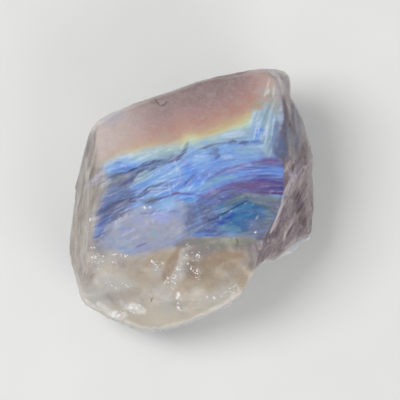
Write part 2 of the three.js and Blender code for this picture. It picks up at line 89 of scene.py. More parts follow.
WASHES = {
    "haze": [
        ([(-5.2, -1.7), (-3.6, -1.9), (-2.2, -1.8), (-1.0, -1.8)], 96, .95),
        ([(-6.2, -2.7), (-4.6, -2.8), (-2.8, -2.6), (-1.6, -2.4)], 90, .9),
        ([(-1.1, -.3), (-.8, -.8), (-.9, -1.6)], 60, .65),
        ([(-6.5, -1.9), (-6.2, -2.6), (-5.8, -3.3)], 70, .95),
        ([(-8.0, -3.3), (-7.2, -3.4), (-6.2, -3.6)], 44, .9),
        ([(-3.4, -.5), (-4.4, -.9), (-5.4, -1.0)], 34, .7),
        ([(-7.9, .2), (-8.0, -1.4), (-8.1, -2.6)], 20, .6),
        ([(-7.0, 6.3), (-6.2, 6.8), (-5.6, 6.8)], 44, .55),
        ([(-5.0, -1.2), (-5.7, -1.6), (-6.2, -2.1)], 46, .9),
        ([(-6.6, -3.1), (-5.2, -3.3), (-3.6, -3.1)], 44, .9),
    ],
    "stone_grey": [
        ([(3.4, .3), (4.6, .4), (5.8, .1), (7.2, -.2)], 62, .85),
        ([(5.8, -.4), (6.4, -.6), (7.4, -.8)], 60, .95),
        ([(5.2, -1.6), (6.2, -1.7), (6.8, -1.8)], 56, .9),
        ([(4.6, -2.4), (5.4, -2.4)], 40, .85),
        ([(3.6, -2.4), (4.4, -2.5), (5.4, -2.6), (6.2, -2.6)], 36, .8),
        ([(3.4, .75), (4.6, .75), (5.8, .6)], 20, .6),
        ([(4.0, -1.6), (4.8, -1.75), (5.4, -1.9)], 34, .75),
        ([(-3.9, .0), (-3.2, .0), (-2.7, -.1)], 24, .7),
    ],
    "chalk": [
        ([(5.0, 10.3), (5.8, 9.9), (6.4, 9.2), (6.9, 8.4)], 52, .5),
        ([(5.8, 8.2), (5.5, 8.9), (5.6, 9.6)], 40, .5),
    ],
    "ivory": [
        ([(-8.3, -8.1), (-6.8, -9.0), (-5.2, -9.5), (-3.4, -10.1), (-1.6, -9.9)], 50, .7),
        ([(-1.2, -9.6), (.9, -8.9), (2.6, -8.1), (3.9, -6.7)], 55, .7),
        ([(-8.3, -4.6), (-8.4, -5.8)], 30, .4),
        ([(-4.4, -8.9), (-2.6, -9.2), (-1.0, -8.9)], 70, .7),
        ([(-6.4, -6.6), (-5.4, -6.8), (-4.4, -6.6)], 60, .6),
    ],
    "fringe": [
        ([(-8.0, 1.2), (-8.05, -.2), (-8.2, -1.6), (-8.3, -3.0)], 26, .7),
        ([(5.0, 7.3), (5.4, 7.8), (5.8, 8.5)], 26, .6),
        ([(6.0, 8.6), (6.4, 8.0), (6.9, 7.6)], 48, .9),
        ([(6.9, 9.0), (7.05, 8.3), (7.1, 7.7)], 36, .9),
        ([(-2.3, 5.4), (-1.9, 5.1), (-2.5, 4.9)], 26, .35),
    ],
    "dusk": [
        ([(-7.0, 1.5), (-6.4, 1.6), (-5.6, 1.8), (-5.0, 2.0)], 46, .9),
        ([(-7.2, .9), (-6.9, .8), (-6.3, 1.0)], 44, .6),
        ([(-1.1, -3.4), (-.2, -3.2), (.9, -3.1)], 34, .9),
        ([(-7.7, -3.9), (-7.0, -4.2)], 34, .5),
    ],
    "lilac": [
        ([(-3.2, -1.1), (-2.5, -1.25), (-1.9, -1.1)], 32, .85),
        ([(-4.4, -1.4), (-3.6, -1.7)], 34, .35),
        ([(-1.2, 3.3), (-.7, 3.0)], 34, .5),
        ([(1.35, .55), (2.0, .8)], 28, .8),
        ([(3.0, 2.55), (4.0, 2.75), (5.2, 2.6)], 28, .7),
        ([(-4.3, .7), (-3.6, .9)], 20, .4),
    ],
    # the inner facet of the right flank, darker as painted shade
    "facet": [
        ([(8.0, 7.2), (7.9, 6.2), (7.7, 5.2), (7.5, 4.2)], 62, 1),
        ([(8.3, 6.2), (8.3, 5.0), (8.1, 4.0)], 40, .7),
        ([(7.3, 5.2), (7.0, 4.3), (7.2, 3.6)], 36, .95),
    ],
    # painted shade just inside the ridge
    "lee_shade": [
        ([(6.9, 4.9), (6.85, 4.2), (6.9, 3.6)], 30, .9),
        ([(7.4, 3.9), (7.5, 3.3)], 26, .5),
    ],
    "blush": [
        ([(9.4, 4.2), (9.5, 2.2), (9.6, .4), (9.5, -1.6)], 50, .7),
        ([(7.3, 9.7), (7.45, 8.9), (7.5, 8.0), (7.7, 7.2)], 30, .8),
        ([(8.6, -2.6), (7.6, -3.4), (6.6, -4.0)], 60, .5),
    ],
    "tuft": [
        ([(6.4, 7.5), (6.1, 6.7), (5.9, 5.6)], 62, .95),
        ([(6.95, 7.2), (6.8, 6.4), (6.5, 5.5)], 40, .95),
        ([(5.9, 5.8), (6.0, 4.8), (6.1, 4.0)], 44, .9),
        ([(5.0, 7.0), (5.5, 6.4)], 34, .8),
    ],
    "umber": [
        ([(-.6, -4.1), (.4, -4.0), (1.6, -3.7), (2.4, -3.5)], 40, .8),
        ([(3.6, -3.6), (4.4, -3.6), (5.0, -3.9)], 44, .8),
        ([(4.8, -3.4), (5.6, -3.6)], 40, .9),
        ([(-.4, -5.0), (-.1, -5.8)], 38, .8),
        ([(4.5, -3.9), (5.3, -4.5), (4.7, -5.1)], 46, .95),
        ([(5.0, -3.7), (5.4, -4.6)], 30, .9),
        ([(3.7, -4.3), (4.4, -5.0)], 36, .6),
    ],
    "honey": [
        ([(-.1, -5.0), (.5, -5.4), (1.0, -5.6)], 56, .75),
        ([(3.6, -5.3), (3.9, -6.2)], 40, .35),
    ],
    "peach": [
        ([(2.6, -6.6), (3.6, -6.2), (4.2, -5.6)], 50, .6),
        ([(-3.6, -4.9), (-2.6, -4.5), (-1.8, -4.2)], 60, .7),
        ([(-4.6, -5.9), (-3.0, -6.0), (-2.0, -6.4)], 60, .4),
        ([(1.6, -5.0), (3.0, -4.7), (3.9, -4.5)], 60, .6),
        ([(.4, -6.2), (1.6, -6.2), (2.8, -5.9)], 70, .45),
        ([(-1.1, -6.7), (-.8, -7.4)], 40, .55),
        ([(3.5, -6.7), (4.2, -6.1)], 40, .7),
    ],
    "frost": [
        ([(-8.0, -4.0), (-7.6, -4.9), (-7.7, -6.4)], 60, .35),
        ([(-6.6, -4.4), (-5.6, -4.5)], 40, .4),
        ([(-7.2, -6.2), (-6.2, -6.6), (-5.0, -6.4)], 50, .6),
        ([(-2.6, -6.9), (-2.1, -7.6), (-1.9, -8.6)], 50, .4),
        ([(-3.0, -5.2), (-2.7, -5.9)], 30, .6),
        ([(-8.0, -7.3), (-7.2, -8.0)], 54, .7),
        ([(-.6, -4.0), (-.9, -5.4), (-1.4, -6.6)], 32, .4),
        ([(.8, -8.0), (2.2, -7.6), (3.3, -6.6)], 46, .35),
    ],
    "slate": [
        ([(-5.3, 1.5), (-5.9, .8), (-6.6, .2), (-7.2, -.4)], 54, .65),
        ([(-4.6, .4), (-5.4, .0), (-6.2, -.5), (-6.9, -1.0)], 48, .85),
        ([(-6.6, -.9), (-7.0, -1.5), (-7.5, -2.3)], 42, .7),
        ([(-7.2, -2.3), (-7.6, -2.9)], 34, .6),
        ([(-5.4, -.5), (-6.0, -1.0), (-6.4, -1.4)], 36, .9),
        ([(-4.9, -.3), (-5.5, -.8)], 30, .6),
        ([(-6.4, -1.5), (-6.8, -2.1), (-7.2, -2.6)], 32, .8),
        ([(-.4, -.3), (-.35, -.9), (-.4, -1.4)], 24, .6),
        ([(.6, -.5), (1.2, -.8), (1.4, -1.3), (.9, -1.9)], 56, .9),
        ([(-.2, -.6), (.0, -1.4), (-.1, -2.2)], 46, .85),
        ([(-.3, -1.9), (.4, -2.1), (1.1, -2.2)], 40, .8),
        ([(-7.2, .5), (-7.3, -.3), (-7.5, -1.1), (-7.8, -2.2)], 30, .7),
        ([(.3, -2.2), (1.5, -2.3), (2.6, -2.4)], 42, .7),
        ([(1.7, 4.1), (2.0, 3.9)], 20, .6),
        ([(-5.0, 1.6), (-4.5, 1.9), (-4.0, 2.2)], 26, .7),
        ([(-2.5, 3.6), (-1.6, 3.7)], 20, .5),
        ([(.0, -.4), (.3, -1.1)], 30, .8),
        ([(.0, -2.3), (.5, -2.6)], 22, .8),
    ],
    "mist": [
        ([(-7.3, 2.6), (-6.6, 2.95), (-5.8, 3.2), (-5.0, 3.5)], 22, .6),
        ([(-4.3, 1.9), (-3.8, 2.1), (-3.2, 2.4)], 32, .8),
        ([(-4.2, 3.5), (-3.2, 3.8), (-2.2, 4.0), (-1.0, 4.3)], 34, .7),
        ([(.4, 4.5), (1.6, 4.75), (3.0, 5.2), (4.6, 5.5)], 30, .75),
        ([(3.0, 5.0), (3.8, 5.0), (4.6, 5.1)], 36, .6),
        ([(3.6, 4.3), (4.6, 4.2), (5.6, 4.1)], 34, .6),
        ([(2.3, 5.0), (3.1, 5.15), (3.9, 5.35)], 34, .9),
        ([(-6.2, -3.2), (-5.0, -3.3)], 26, .4),
    ],
    "sky": [
        ([(-2.8, -.2), (-2.2, -.35), (-1.5, -.2)], 34, .75),
        ([(-3.2, 2.0), (-2.4, 2.2), (-1.4, 2.5)], 44, .65),
        ([(-.4, 3.9), (.3, 3.7), (1.2, 3.6)], 36, .6),
        ([(-6.8, 2.4), (-6.0, 2.75), (-5.2, 3.0), (-4.6, 3.05)], 34, .8),
        ([(2.2, 3.5), (3.6, 3.6), (5.2, 3.7)], 30, .5),
        ([(2.5, 4.2), (3.5, 4.1)], 26, .6),
        ([(.5, 4.65), (1.3, 4.8)], 20, .6),
        ([(-6.5, 2.6), (-5.8, 2.85)], 20, .5),
        ([(-1.2, 3.6), (-1.3, 2.6), (-1.6, 1.4)], 34, .4),
    ],
    "azure": [
        ([(-.3, 2.5), (.1, 1.9), (.4, 1.3)], 46, .85),
        ([(-6.3, 2.45), (-5.6, 2.7), (-5.1, 2.75), (-4.6, 2.75)], 22, .65),
        ([(3.6, 2.0), (4.8, 2.2), (6.0, 2.25), (7.2, 2.2)], 34, .6),
        ([(-7.6, -2.2), (-7.2, -1.8), (-6.7, -1.4)], 20, .3),
        ([(-2.2, 1.0), (-1.3, 1.3), (-.5, 1.5)], 26, .4),
        ([(-1.0, .35), (-.2, .25), (.5, .3)], 18, .8),
        ([(.2, -2.65), (1.2, -2.6), (2.2, -2.5)], 16, .6),
        ([(.2, .55), (.7, .35), (1.2, .1)], 18, .6),
        ([(-.7, 1.5), (-.1, 2.0)], 20, .6),
    ],
    "mauve": [
        ([(1.0, .1), (2.0, .5), (3.2, .9), (4.4, 1.0)], 44, .6),
        ([(3.2, 1.2), (4.9, 1.35), (6.4, 1.35), (8.6, 1.25)], 40, .85),
        ([(4.4, .95), (6.0, .85), (8.4, .75)], 26, .8),
        ([(4.9, 2.95), (5.8, 3.05), (6.8, 3.05), (8.6, 2.9)], 26, .7),
        ([(-3.0, 1.0), (-2.2, 1.2), (-1.7, 1.3)], 20, .35),
    ],
    "deep": [
        ([(1.4, -1.7), (2.4, -1.7), (3.2, -1.8)], 40, .45),
        ([(2.2, .1), (3.2, -.1), (4.2, -.3)], 40, .6),
        ([(1.2, -2.5), (2.4, -2.4)], 24, .4),
    ],
    "sea": [
        ([(2.0, -.5), (2.8, -.3), (3.8, .0), (5.0, .1)], 30, .6),
        ([(2.6, -1.9), (3.2, -2.1), (4.0, -2.3)], 34, .7),
        ([(5.2, -.3), (5.8, -.6), (6.0, -1.2)], 30, .5),
        ([(1.9, -.5), (2.6, -.7)], 28, .6),
    ],
    "verge": [
        ([(-7.0, 2.2), (-6.9, 1.5), (-7.1, .7), (-7.4, .0)], 22, .75),
        ([(-7.5, -.2), (-7.75, -1.2), (-8.0, -2.6)], 22, .75),
    ],
    "steel": [
        ([(6.7, 6.2), (6.55, 5.2), (6.4, 4.3)], 26, .85),
        ([(6.2, 4.6), (6.3, 3.9)], 22, .5),
    ],
    "teal": [
        ([(2.6, -1.4), (3.6, -1.1), (4.6, -.8), (5.3, -.9)], 60, .95),
        ([(2.6, -1.8), (3.6, -1.8), (4.4, -1.6)], 40, .8),
        ([(2.4, -2.3), (3.4, -2.2), (4.2, -2.2)], 26, .6),
    ],
}
MARKS = {
    # dark smudges along the grain, and painted step shadows along the lamina steps, over a shallow
    # groove
    "smudge_and_step_shadow": [
        ([(-6.7, 1.8), (-5.9, 2.1), (-5.4, 2.24), (-4.9, 2.34)], 8, .65),
        ([(-5.2, 2.25), (-4.6, 2.42), (-4.1, 2.5)], 15, .8),
        ([(-4.3, 2.4), (-3.6, 2.7), (-3.0, 2.9), (-2.1, 3.14)], 30, .85),
        ([(-2.4, 3.06), (-1.6, 3.34), (-1.0, 3.6), (-.55, 3.95)], 20, .8),
        ([(-.6, 4.0), (-.45, 4.35), (-.35, 4.7)], 14, .5),
        ([(.4, 4.0), (1.1, 4.3), (1.8, 4.5)], 8, .6),
        ([(1.7, 4.5), (2.5, 4.58), (2.8, 4.62)], 6, .45),
        ([(2.9, 4.6), (3.2, 4.66), (3.5, 4.66)], 13, .7),
        ([(3.8, 4.62), (4.1, 4.64), (4.4, 4.66)], 13, .7),
        ([(4.6, 4.7), (5.0, 4.72), (5.4, 4.78)], 7, .45),
        ([(2.4, 4.9), (3.4, 4.95), (4.4, 5.0)], 4, .25),
        ([(-5.9, 1.1), (-5.2, 1.45), (-4.6, 1.85), (-4.3, 2.15)], 12, .55),
        ([(-4.9, 1.6), (-4.6, 1.8)], 16, .5),
        ([(-5.9, .75), (-5.2, 1.0), (-4.6, 1.3)], 12, .35),
        ([(-7.0, .5), (-6.2, .75), (-5.2, 1.05)], 14, .3),
        ([(-4.3, .3), (-3.8, .65), (-3.2, 1.05), (-2.7, 1.25)], 14, .85),
        ([(-3.0, 1.2), (-2.2, 1.5), (-1.6, 1.75)], 6, .45),
        ([(-7.2, -.8), (-6.5, -.35), (-5.8, -.1), (-5.0, .1), (-4.4, .3)], 12, .75),
        ([(-6.6, -.7), (-5.9, -.45), (-5.2, -.15), (-4.6, .1), (-4.2, .4)], 11, .7),
        ([(-5.4, .3), (-4.9, .5), (-4.4, .65)], 6, .35),
        ([(-6.0, -.45), (-5.2, -.25), (-4.4, .0), (-3.9, .15)], 9, .6),
        ([(-7.6, -1.1), (-7.2, -.8), (-6.7, -.6), (-6.2, -.5)], 17, .8),
        ([(-6.9, -.5), (-6.4, -.3), (-5.9, -.25)], 12, .7),
        ([(-7.2, -1.4), (-6.7, -1.1), (-6.2, -.8)], 14, .6),
        ([(-7.3, -1.9), (-7.0, -1.6), (-6.7, -1.3)], 16, .5),
        ([(-8.0, -2.9), (-7.5, -2.8), (-7.1, -2.6)], 9, .6),
        ([(-4.1, -1.0), (-3.5, -.98), (-2.9, -.8), (-1.9, -.72)], 5, .4),
        ([(-4.0, -.98), (-3.5, -.92)], 8, .3),
        ([(-3.6, -.1), (-2.8, .12), (-2.0, .32)], 7, .5),
        ([(-.6, 1.3), (-.2, 1.7), (.2, 2.1)], 8, .4),
        ([(.3, -.5), (1.1, -.1), (2.0, .2)], 40, .25),
        ([(1.3, 3.7), (1.7, 3.8), (2.1, 3.6), (1.9, 3.4)], 14, .5),
        ([(1.3, -1.55), (1.9, -1.45), (2.2, -1.3)], 8, .6),
        ([(.6, -1.3), (1.0, -1.35), (1.5, -1.5)], 6, .6),
        ([(.3, -2.5), (1.0, -2.35), (1.8, -2.4), (2.4, -2.6)], 10, .45),
        ([(2.7, .45), (3.2, .6), (3.9, .55)], 11, .55),
        ([(4.2, .35), (5.3, .2)], 7, .4),
        ([(2.9, 1.1), (4.0, 1.35), (5.2, 1.4)], 6, .4),
        ([(5.0, -.2), (6.0, -.5), (6.8, -.6)], 8, .35),
        ([(4.6, -1.0), (5.6, -1.1), (6.6, -1.3)], 7, .3),
    ],
    "cobalt": [
        ([(1.8, -1.6), (2.3, -1.5), (2.9, -1.25), (3.3, -1.05)], 13, 1),
        ([(2.1, -1.75), (2.5, -1.65)], 12, .9),
        ([(-.5, 1.4), (.0, 1.85), (.4, 2.3)], 10, .4),
        ([(-6.3, 2.4), (-5.6, 2.6), (-4.9, 2.75)], 9, .35),
        ([(-6.2, 3.0), (-5.6, 3.1)], 6, .3),
        ([(-.9, 2.6), (-.3, 2.9), (.3, 3.1)], 8, .4),
        ([(-7.4, -2.6), (-7.0, -2.1)], 8, .6),
        ([(3.9, 2.75), (5.0, 2.65), (6.2, 2.6)], 6, .6),
        ([(5.2, 2.0), (6.4, 2.0), (7.3, 1.9)], 7, .6),
        ([(4.2, 1.6), (5.6, 1.7), (7.0, 1.5)], 5, .6),
        ([(5.4, 1.1), (6.6, 1.05), (7.3, 1.0)], 5, .5),
        ([(1.0, -2.7), (2.2, -2.65)], 6, .5),
        ([(3.0, -1.8), (3.7, -1.6)], 7, .5),
        ([(-4.4, -3.6), (-3.6, -3.3)], 8, .4),
    ],
    "violet": [
        ([(4.9, 3.15), (6.1, 3.2), (6.9, 3.2), (8.2, 3.1)], 10, .75),
        ([(5.2, 2.9), (6.4, 2.85), (8.2, 2.75)], 7, .4),
        ([(1.1, 1.6), (1.8, 2.1), (2.6, 2.5), (3.5, 2.8), (4.5, 3.05), (5.4, 3.2)], 9, .65),
        ([(2.4, 1.9), (3.4, 2.4), (4.5, 2.7)], 6, .25),
        ([(4.6, 2.3), (5.8, 2.4), (7.2, 2.3)], 6, .4),
        ([(.4, .0), (1.1, .4), (2.0, .9), (3.0, 1.25), (4.1, 1.55), (5.0, 1.75), (6.1, 1.8),
          (8.0, 1.75)], 14, .8),
        ([(3.6, 1.85), (4.8, 2.05), (6.0, 2.05), (8.0, 1.95)], 6, .6),
        ([(2.6, .85), (3.8, 1.0), (4.9, 1.2)], 12, .6),
        ([(4.0, .8), (5.4, .75), (6.4, .65), (8.0, .5)], 7, .85),
        ([(1.4, -.2), (2.4, .1), (3.2, .35)], 14, .45),
        ([(-2.9, .1), (-2.4, .24), (-1.9, .36), (-1.3, .62), (-.4, .58), (.2, .55), (.9, .4)], 6,
         .85),
        ([(-3.3, .65), (-2.4, .85)], 8, .35),
        ([(-5.3, .7), (-4.6, .75), (-4.0, .9)], 10, .4),
        ([(-7.4, -.1), (-6.9, .1)], 10, .4),
        ([(-2.4, -.9), (-1.6, -.8), (-1.0, -.8)], 8, .4),
    ],
    "plum": [
        ([(5.4, 1.55), (6.4, 1.45), (8.0, 1.35)], 16, .55),
        ([(5.6, 1.0), (6.6, 1.05), (8.0, 1.0)], 13, .6),
        ([(5.2, .72), (6.4, .66), (8.0, .6)], 7, .85),
    ],
    "rose": [
        ([(3.2, 1.05), (4.2, 1.3), (5.2, 1.35), (6.4, 1.3)], 16, .6),
        ([(5.4, 3.05), (6.4, 3.1), (7.2, 3.0)], 12, .4),
        ([(5.0, 1.0), (6.1, 1.0), (7.6, .95)], 7, .45),
        ([(-1.6, .5), (-1.2, .64), (-.8, .6)], 4, .7),
        ([(1.8, 2.1), (2.6, 2.45)], 6, .4),
        ([(2.2, .8), (3.0, 1.15)], 8, .4),
        ([(5.6, 3.3), (6.6, 3.35)], 7, .4),
    ],
    "aqua": [
        ([(.6, .95), (1.2, 1.3), (1.9, 1.6), (2.6, 1.85), (3.5, 2.0)], 15, .6),
        ([(.9, 1.35), (1.6, 1.7), (2.3, 1.95)], 9, .45),
        ([(-4.2, 2.0), (-3.8, 2.1), (-3.3, 2.4)], 20, .5),
        ([(4.3, 4.3), (4.5, 3.9)], 14, .5),
        ([(3.6, 2.35), (4.1, 2.3)], 8, .3),
        ([(2.3, -2.0), (3.0, -2.15), (3.7, -2.2)], 22, .35),
        ([(-3.3, -2.4), (-2.8, -2.7)], 20, .4),
        ([(-8.1, .4), (-8.1, -.6), (-8.1, -1.8)], 12, .5),
    ],
    "cyan": [
        ([(3.0, -.8), (3.8, -.5), (4.8, -.35)], 16, .3),
        ([(3.2, -1.5), (4.0, -1.2), (4.8, -1.0)], 14, .3),
        ([(2.9, -1.8), (3.6, -1.6)], 12, .3),
        ([(-.9, .15), (-.2, .1), (.5, .2)], 9, .6),
        ([(-1.7, 2.7), (-.9, 2.9)], 8, .4),
    ],
    "leaf": [
        ([(3.4, .35), (4.5, .45), (5.6, .25)], 15, .25),
        ([(2.6, -.2), (3.4, .1), (4.0, .3)], 16, .3),
        ([(4.7, .0), (5.7, -.2), (6.4, -.5)], 15, .3),
        ([(2.4, -.8), (3.0, -.4)], 14, .3),
        ([(5.9, .3), (6.6, .2), (7.2, .1)], 18, .2),
        ([(5.8, -1.0), (6.3, -1.2)], 14, .35),
        ([(-3.9, 1.9), (-3.6, 2.2)], 14, .4),
        ([(-3.6, -3.0), (-3.0, -2.9)], 14, .3),
        ([(2.9, -3.2), (3.6, -3.15)], 20, .4),
    ],
    "sage": [([(.3, -3.25), (1.4, -3.3), (2.9, -3.2), (4.4, -3.1)], 48, .75)],
    "pitch": [
        ([(1.3, -1.55), (1.9, -1.3), (2.4, -1.0)], 4, .7),
        ([(2.0, -1.2), (2.6, -.9), (3.2, -.57), (3.9, -.2), (4.4, .05)], 4, 1),
        ([(-4.9, 2.42), (-4.55, 2.55), (-4.2, 2.55)], 11, .75),
        ([(-3.1, 1.05), (-2.8, 1.25), (-2.4, 1.4)], 4, .4),
    ],
    "pearl": [
        ([(-8.4, 1.2), (-7.9, 1.6), (-7.3, 2.15), (-6.8, 2.55)], 13, .5),
        ([(-8.0, 1.3), (-7.5, 1.6), (-7.0, 1.9)], 20, .25),
        ([(6.9, 5.8), (7.1, 6.8), (7.2, 7.6)], 18, .35),
        ([(7.5, 2.6), (8.0, 1.6), (8.8, 2.9)], 10, .4),
    ],
    "ice": [
        ([(-1.35, 3.1), (-1.15, 2.6), (-1.25, 2.1)], 10, .3),
        ([(-1.0, 2.4), (-.95, 1.9), (-1.15, 1.5)], 8, .25),
        ([(-1.85, 1.4), (-1.8, .9), (-1.7, .5)], 9, .3),
        ([(-1.5, 1.3), (-1.4, .8)], 7, .25),
        ([(2.4, 5.15), (3.2, 5.25), (4.0, 5.4)], 18, .75),
        ([(-3.0, 1.55), (-2.2, 1.6), (-1.4, 1.7)], 5, .5),
        ([(-3.5, .95), (-2.8, 1.05), (-2.0, 1.1)], 4, .6),
        ([(-3.3, .75), (-2.4, .8), (-1.7, .9)], 4, .5),
        ([(-4.6, .65), (-4.1, .8)], 4, .4),
        ([(-2.6, -.95), (-2.1, -.8)], 12, .4),
        ([(1.5, .65), (2.0, .8)], 16, .2),
        ([(.2, 3.6), (.9, 3.5), (1.3, 3.7)], 5, .5),
        ([(.4, 4.0), (1.0, 4.1)], 5, .4),
        ([(2.3, 3.5), (3.1, 3.6)], 14, .3),
        ([(3.0, 3.4), (4.2, 3.5), (5.2, 3.5)], 5, .3),
        ([(-6.0, 3.4), (-5.4, 3.5), (-4.6, 3.7)], 8, .5),
        ([(4.5, 5.9), (4.8, 6.6), (5.1, 7.2)], 9, .5),
        ([(4.85, 4.9), (5.0, 5.6), (5.2, 6.3)], 6, .8),
        ([(5.2, 5.4), (5.3, 6.0), (5.45, 6.6)], 4, .9),
        ([(5.75, 4.6), (5.9, 5.4), (6.1, 6.0)], 5, .7),
        ([(6.25, 5.2), (6.4, 6.0), (6.5, 6.8)], 4, .8),
    ],
    "amber": [
        ([(-1.1, -3.8), (-1.4, -4.5), (-1.8, -5.3), (-2.3, -6.2)], 30, .6),
        ([(-1.1, -4.2), (-1.4, -4.9), (-1.8, -5.7)], 18, .5),
        ([(1.0, -4.8), (1.9, -4.6), (2.9, -4.3), (3.8, -4.2)], 44, .55),
        ([(2.6, -5.3), (3.4, -5.0)], 40, .4),
        ([(-5.8, -4.8), (-4.6, -5.3), (-3.4, -5.4)], 72, .14),
        ([(-.4, -6.1), (-.3, -7.1)], 34, .35),
        ([(.2, -6.6), (1.8, -6.4)], 64, .3),
    ],
    "smoke": [
        ([(-7.0, -7.6), (-5.9, -7.5), (-5.0, -7.3), (-4.2, -7.1)], 34, .22),
        ([(-6.3, -7.7), (-5.6, -7.5)], 14, .2),
        ([(-1.9, -8.0), (-1.0, -8.2), (-.2, -7.9)], 24, .14),
        ([(5.2, -2.9), (6.0, -2.75), (6.8, -2.5)], 28, .75),
        ([(7.8, -.8), (8.5, -.4), (9.0, -.1)], 34, .9),
        ([(8.6, .1), (9.0, -.6)], 22, .7),
        ([(-8.1, 5.2), (-8.35, 4.2), (-8.7, 3.0)], 26, .55),
        ([(7.8, .2), (8.4, .7)], 26, .7),
        ([(7.4, -1.6), (7.9, -1.0)], 20, .5),
        ([(8.2, 7.0), (8.5, 5.9), (8.8, 4.8), (8.9, 3.5)], 9, .6),
        ([(4.6, -3.5), (5.2, -3.7), (5.4, -4.2)], 34, .45),
        ([(-7.7, 5.5), (-7.75, 4.6), (-7.9, 3.6)], 9, .5),
        ([(-7.95, 5.0), (-8.0, 3.9), (-8.2, 2.6)], 8, .45),
        ([(-8.6, 1.6), (-8.8, .3)], 9, .3),
    ],
    "sliver": [
        ([(6.2, -2.5), (6.5, -1.9), (6.9, -1.0), (7.2, .1)], 9, .9),
        ([(6.5, -2.3), (6.8, -1.5), (7.05, -.8)], 6, .5),
        ([(7.3, -3.2), (7.5, -2.5), (7.9, -1.7), (8.3, -.9)], 9, .95),
        ([(7.7, -3.0), (8.1, -2.1), (8.5, -1.4)], 7, .5),
        ([(7.0, -.2), (7.4, .9), (8.0, 2.3)], 8, .55),
        ([(7.5, .5), (7.7, 1.3), (8.1, 2.4)], 9, .8),
        ([(7.8, 1.6), (8.0, 2.2), (8.4, 2.9)], 9, .75),
        ([(7.3, 2.4), (7.7, 3.0), (8.3, 3.4)], 16, .4),
        ([(8.7, 3.3), (8.9, 2.8), (9.2, 2.4)], 12, .8),
        ([(8.8, 2.2), (9.2, 1.6)], 9, .5),
        ([(9.2, .6), (9.5, -.3), (9.6, -1.4)], 12, .4),
        ([(8.3, -2.6), (8.7, -1.8)], 7, .4),
        ([(7.6, -3.3), (8.6, -2.9), (9.4, -2.2)], 14, .25),
    ],
    # the darker, redder outer strip of the flank: painted shade
    "russet_shade": [
        ([(8.8, 5.1), (9.0, 4.4), (8.9, 3.6), (8.8, 3.0)], 26, .8),
        ([(7.3, 8.0), (7.4, 7.2), (7.8, 6.3), (8.0, 5.4)], 22, .7),
        ([(8.3, .2), (8.5, -.8), (8.4, -1.8)], 44, .55),
        ([(8.9, -.8), (8.9, -1.6), (8.6, -2.6)], 44, .5),
        ([(8.3, 3.9), (7.8, 4.5)], 22, .5),
    ],
    # whitish bruises, and painted highlights on the lower left rim and the top right knob
    "milk_and_highlight": [
        ([(-7.5, -8.2), (-6.7, -8.9), (-5.9, -9.3), (-5.4, -9.1)], 26, .8),
        ([(-6.7, -8.9), (-6.2, -9.2)], 30, .9),
        ([(-5.2, -8.4), (-4.6, -8.6), (-3.9, -8.8)], 30, .75),
        ([(-8.6, -7.8), (-8.2, -8.3), (-7.4, -8.8)], 16, .7),
        ([(-5.3, -9.6), (-4.2, -10.2), (-2.6, -10.3), (-1.0, -9.9), (1.0, -9.1), (2.6, -8.3),
          (3.7, -7.2)], 24, .6),
        ([(6.2, 10.2), (6.8, 9.9), (7.1, 9.2), (7.2, 8.4)], 14, .5),
        ([(-7.5, 6.2), (-7.0, 6.6), (-6.4, 7.0), (-5.9, 7.2)], 24, .5),
        ([(5.05, -1.4), (5.25, -1.1)], 5, .35),
        ([(5.7, 8.3), (5.95, 9.0), (6.1, 9.7)], 6, .45),
        ([(5.95, 8.5), (6.05, 8.9)], 8, .5),
        ([(6.4, 8.2), (6.5, 9.2)], 5, .4),
        ([(8.7, 6.2), (9.1, 4.6), (9.4, 3.2)], 20, .15),
        ([(7.4, -3.8), (8.4, -3.3), (9.4, -2.7)], 24, .35),
    ],
    "dirt": [
        ([(-3.15, 8.0), (-3.0, 8.12), (-2.85, 7.95), (-2.7, 7.75), (-2.6, 7.6)], 4, .7),
        ([(-2.6, 7.62), (-2.35, 7.58), (-2.15, 7.7), (-2.0, 7.9)], 4, .65),
        ([(-3.3, 7.9), (-2.9, 7.75)], 7, .25),
        ([(-2.95, 8.3), (-2.85, 8.1)], 3, .4),
        ([(3.45, -2.9), (3.62, -3.2), (3.5, -3.5)], 3, .6),
        ([(-3.2, -7.7), (-3.3, -8.0)], 4, .6),
        ([(-7.8, 6.0), (-7.6, 6.2)], 4, .4),
    ],
}

# families with cloudy outlines, not torn along the grain
CLOUDY = {"ivory", "umber", "honey", "peach", "frost", "amber", "smoke", "sage", "russet_shade", "milk_and_highlight",
          "sliver"}
# the ones that belong to the flash, a painted sheen, so the ridge cuts them off
FLASH_MARKS = {"smudge_and_step_shadow", "pitch", "cobalt", "violet", "plum", "rose", "aqua", "leaf", "ice", "cyan"}

# patches of skin shattered into tiny chips, with painted glints, as strokes of the same kind
SHATTERED = [
    ([(-8.0, -3.9), (-7.7, -4.4), (-7.5, -5.2)], 44, 1),
    ([(-7.3, -4.3), (-7.2, -5.0)], 26, .9),
    ([(-6.3, -4.3), (-5.8, -4.25), (-5.2, -4.4)], 16, 1),
    ([(-6.3, -4.7), (-6.1, -5.3)], 18, .9),
    ([(-3.1, -4.8), (-2.5, -5.2)], 32, 1),
    ([(-.4, -3.5), (-.7, -4.8), (-1.3, -5.7), (-2.1, -6.5)], 26, 1),
    ([(-.9, -5.0), (-1.4, -6.2), (-1.4, -6.9)], 24, .9),
    ([(-.3, -4.2), (.2, -4.6), (.5, -4.3)], 30, .9),
    ([(-.2, -5.2), (.4, -6.1)], 34, .8),
    ([(2.2, -7.7), (4.2, -6.4)], 20, .6),
    ([(4.5, -1.7), (4.9, -2.3)], 14, .25),
    ([(-6.8, -6.4), (-4.8, -6.9)], 36, .35),
    ([(-5.8, -9.0), (-3.9, -8.6)], 30, .6),
    ([(7.6, .6), (8.2, 2.2)], 26, .3),
    ([(-1.2, -8.2), (-.9, -8.6)], 26, .6),
    ([(-4.2, -2.2), (-3.0, -2.4)], 50, .16),
]
